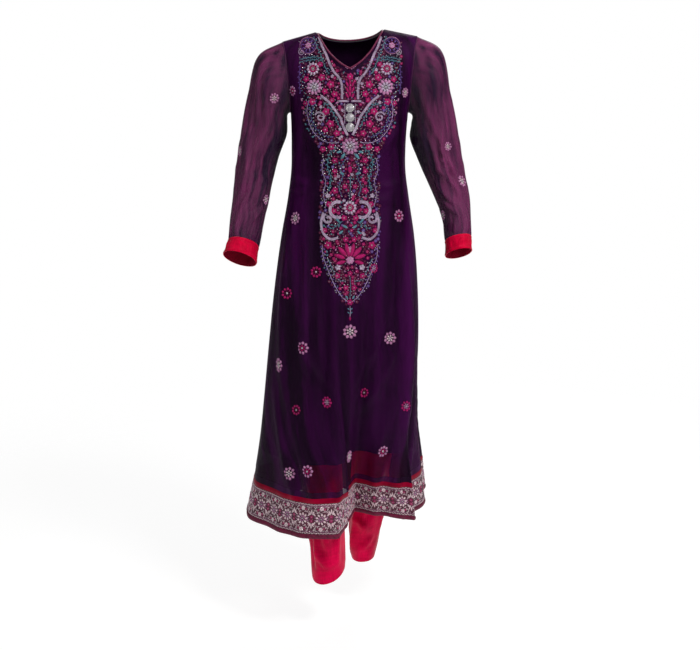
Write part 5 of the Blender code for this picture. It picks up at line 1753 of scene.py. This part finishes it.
def embroider_border(side):
    """The border's repeats and edge rows, laid flat on the strip and kept off its two ends."""
    strip = BORDERS[side]
    row = strip.lengths()[0][BORDER_ROWS // 2]
    repeats = int(round(row[-1] / (BORDER_REPEAT * BORDER_SCALE)))
    made, kept = border_edges(row[-1]), Stitches()
    for number in range(repeats):
        made.put(border_repeat(), (number + 0.25) * row[-1] / repeats, size=BORDER_SCALE)
    for thread, rows in made.each().items():
        kept.rows[thread] = [rows[(rows[:, 0] > 0.002) & (rows[:, 0] < row[-1] - 0.002)]]
    WORK.spread(f"border_{side}", strip, kept, lambda across, up: (
        BORDER_ROWS * (0.5 - up / BORDER_HEIGHT), np.interp(across, row, np.arange(len(row)))),
        "short")


def embroider():
    """Lays the design on the cloths."""
    WORK.spread("kameez_front", PANELS["front"], neck_work(), PANELS["front"].facing, "petal")
    for side, sprigs in (("front", FRONT_SPRIGS), ("back", BACK_SPRIGS)):
        for number, (x, z, size, thread) in enumerate(sprigs):
            i, j = PANELS[side].facing(np.array([MM * x]), np.array([MM * z]))
            motif = roundel(MM * size, *SPRIG_THREADS[thread][number % 2], 0.7 * number)
            WORK.lay(f"kameez_{side}", PANELS[side], i, j, motif)
    for side, sleeve in SLEEVES.items():
        down = sleeve.lengths()[1][:, 0]
        for number, (degrees, below, size) in enumerate(SLEEVE_SPRIGS[side]):
            i = np.interp(MM * below, down, np.arange(len(down)))
            WORK.lay(f"sleeve_{side}", sleeve, i, SLEEVE_AROUND * degrees / 360,
                     roundel(MM * size, "rose", "bright", 0.9 * number))
    for side in BORDERS:
        embroider_border(side)


# ---- camera, light and floor
EYE, AIM = (0.0, -3.2, -0.082), (0.0, 0.0, -0.717)
LENS, SENSOR = 67.114, 36.0
FLOOR_Z = -1.47
ROOM_LIGHT = 0.26  # how bright the white room is as a lamp; the camera sees it at 1
WHITE = (1.0, 1.0, 1.0)
LAMPS_AIM = (0.0, 0.0, -0.65)
# Large square lamps that face the suit: name, place, size, power and colour.
LAMPS = (("key_lamp", (1.4, -1.8, 1.7), 0.8, 71.0, (1.0, 0.985, 0.965)),
         ("fill_lamp", (-2.2, -2.4, 1.2), 1.2, 8.0, (0.97, 0.98, 1.0)),
         ("back_lamp", (0.8, 3.0, 1.3), 1.6, 42.0, WHITE))
FLOOR_RINGS, FLOOR_AROUND, FLOOR_RADIUS = 26, 72, 3.6
FLOOR_FADE = (1.6, 3.2)  # distances between which the floor fades into the room


def aimed(name, data, place, target):
    thing = bpy.data.objects.new(name, data)
    thing.location = place
    thing.rotation_euler = (Vector(target) - Vector(place)).to_track_quat("-Z", "Y").to_euler()
    bpy.context.scene.collection.objects.link(thing)
    return thing


def make_stage():
    """Camera, soft studio lamps and a white room."""
    scene = bpy.context.scene
    camera = bpy.data.cameras.new("camera")
    camera.lens, camera.sensor_width = LENS, SENSOR
    scene.camera = aimed("camera", camera, EYE, AIM)
    for name, place, size, power, colour in LAMPS:
        lamp = bpy.data.lights.new(name, "AREA")
        lamp.size, lamp.energy, lamp.color = size, power, colour
        aimed(name, lamp, place, LAMPS_AIM)
    scene.world = world = bpy.data.worlds.new("white_room")
    world.use_nodes = True
    room = world.node_tree.nodes["Background"].inputs
    room["Color"].default_value = (*WHITE, 1.0)
    seen = node(world.node_tree, "ShaderNodeLightPath")
    world.node_tree.links.new((ROOM_LIGHT + (1.0 - ROOM_LIGHT) * seen).socket, room["Strength"])
    scene.view_settings.view_transform = "Standard"


def make_floor():
    """Pale floor that fades into the room: rings of growing radius round a hub."""
    radius = FLOOR_RADIUS * np.linspace(0.0, 1.0, FLOOR_RINGS + 1)[1:, None] ** 1.3
    turn = turns(FLOOR_AROUND)
    points = np.stack([radius * np.cos(turn), radius * np.sin(turn), FLOOR_Z + 0 * radius * turn],
                      -1).reshape(-1, 3)
    quads, _ = grid_faces(FLOOR_RINGS, FLOOR_AROUND, ring=True)
    first = np.arange(FLOOR_AROUND)
    caps = np.stack([np.full(FLOOR_AROUND, len(points)), first, np.roll(first, -1)], -1)
    mesh = bpy.data.meshes.new("floor")
    mesh.from_pydata([*points.tolist(), (0.0, 0.0, FLOOR_Z)], [], quads.tolist() + caps.tolist())
    made = Finish("pale_floor", Emission_Color=WHITE, Emission_Strength=0.82, Roughness=0.7)
    made.put("Base Color", mixed(noise(made.place, 60.0, 4.0), (0.25, 0.25, 0.252),
                                 (0.27, 0.27, 0.268)))
    tree = made.place.tree
    far = node(tree, "ShaderNodeVectorMath", {"operation": "LENGTH"}, {0: made.place}, output=1)
    made.put("Alpha", 1.0 - node(tree, "ShaderNodeMapRange", {
        "interpolation_type": "SMOOTHERSTEP"}, {
        "Value": far, "From Min": FLOOR_FADE[0], "From Max": FLOOR_FADE[1]}))
    mesh.materials.append(made.material)
    floor = bpy.data.objects.new("floor", mesh)
    bpy.context.scene.collection.objects.link(floor)


def declare_cuts():
    """Makes the thread work that lies on each cloth, one piece for each garment part and thread."""
    works = {part: WORK.pieces(part) for part in sorted({owner for owner, _ in WORK.kept})}


make_stage()
make_floor()
PANELS, BORDERS = make_panels()
make_neck()
SLEEVES, CUFFS = make_sleeves()
LEGS = make_salwar()
embroider()
make_seams()
make_buttons()
stitch_rows()
declare_cuts()
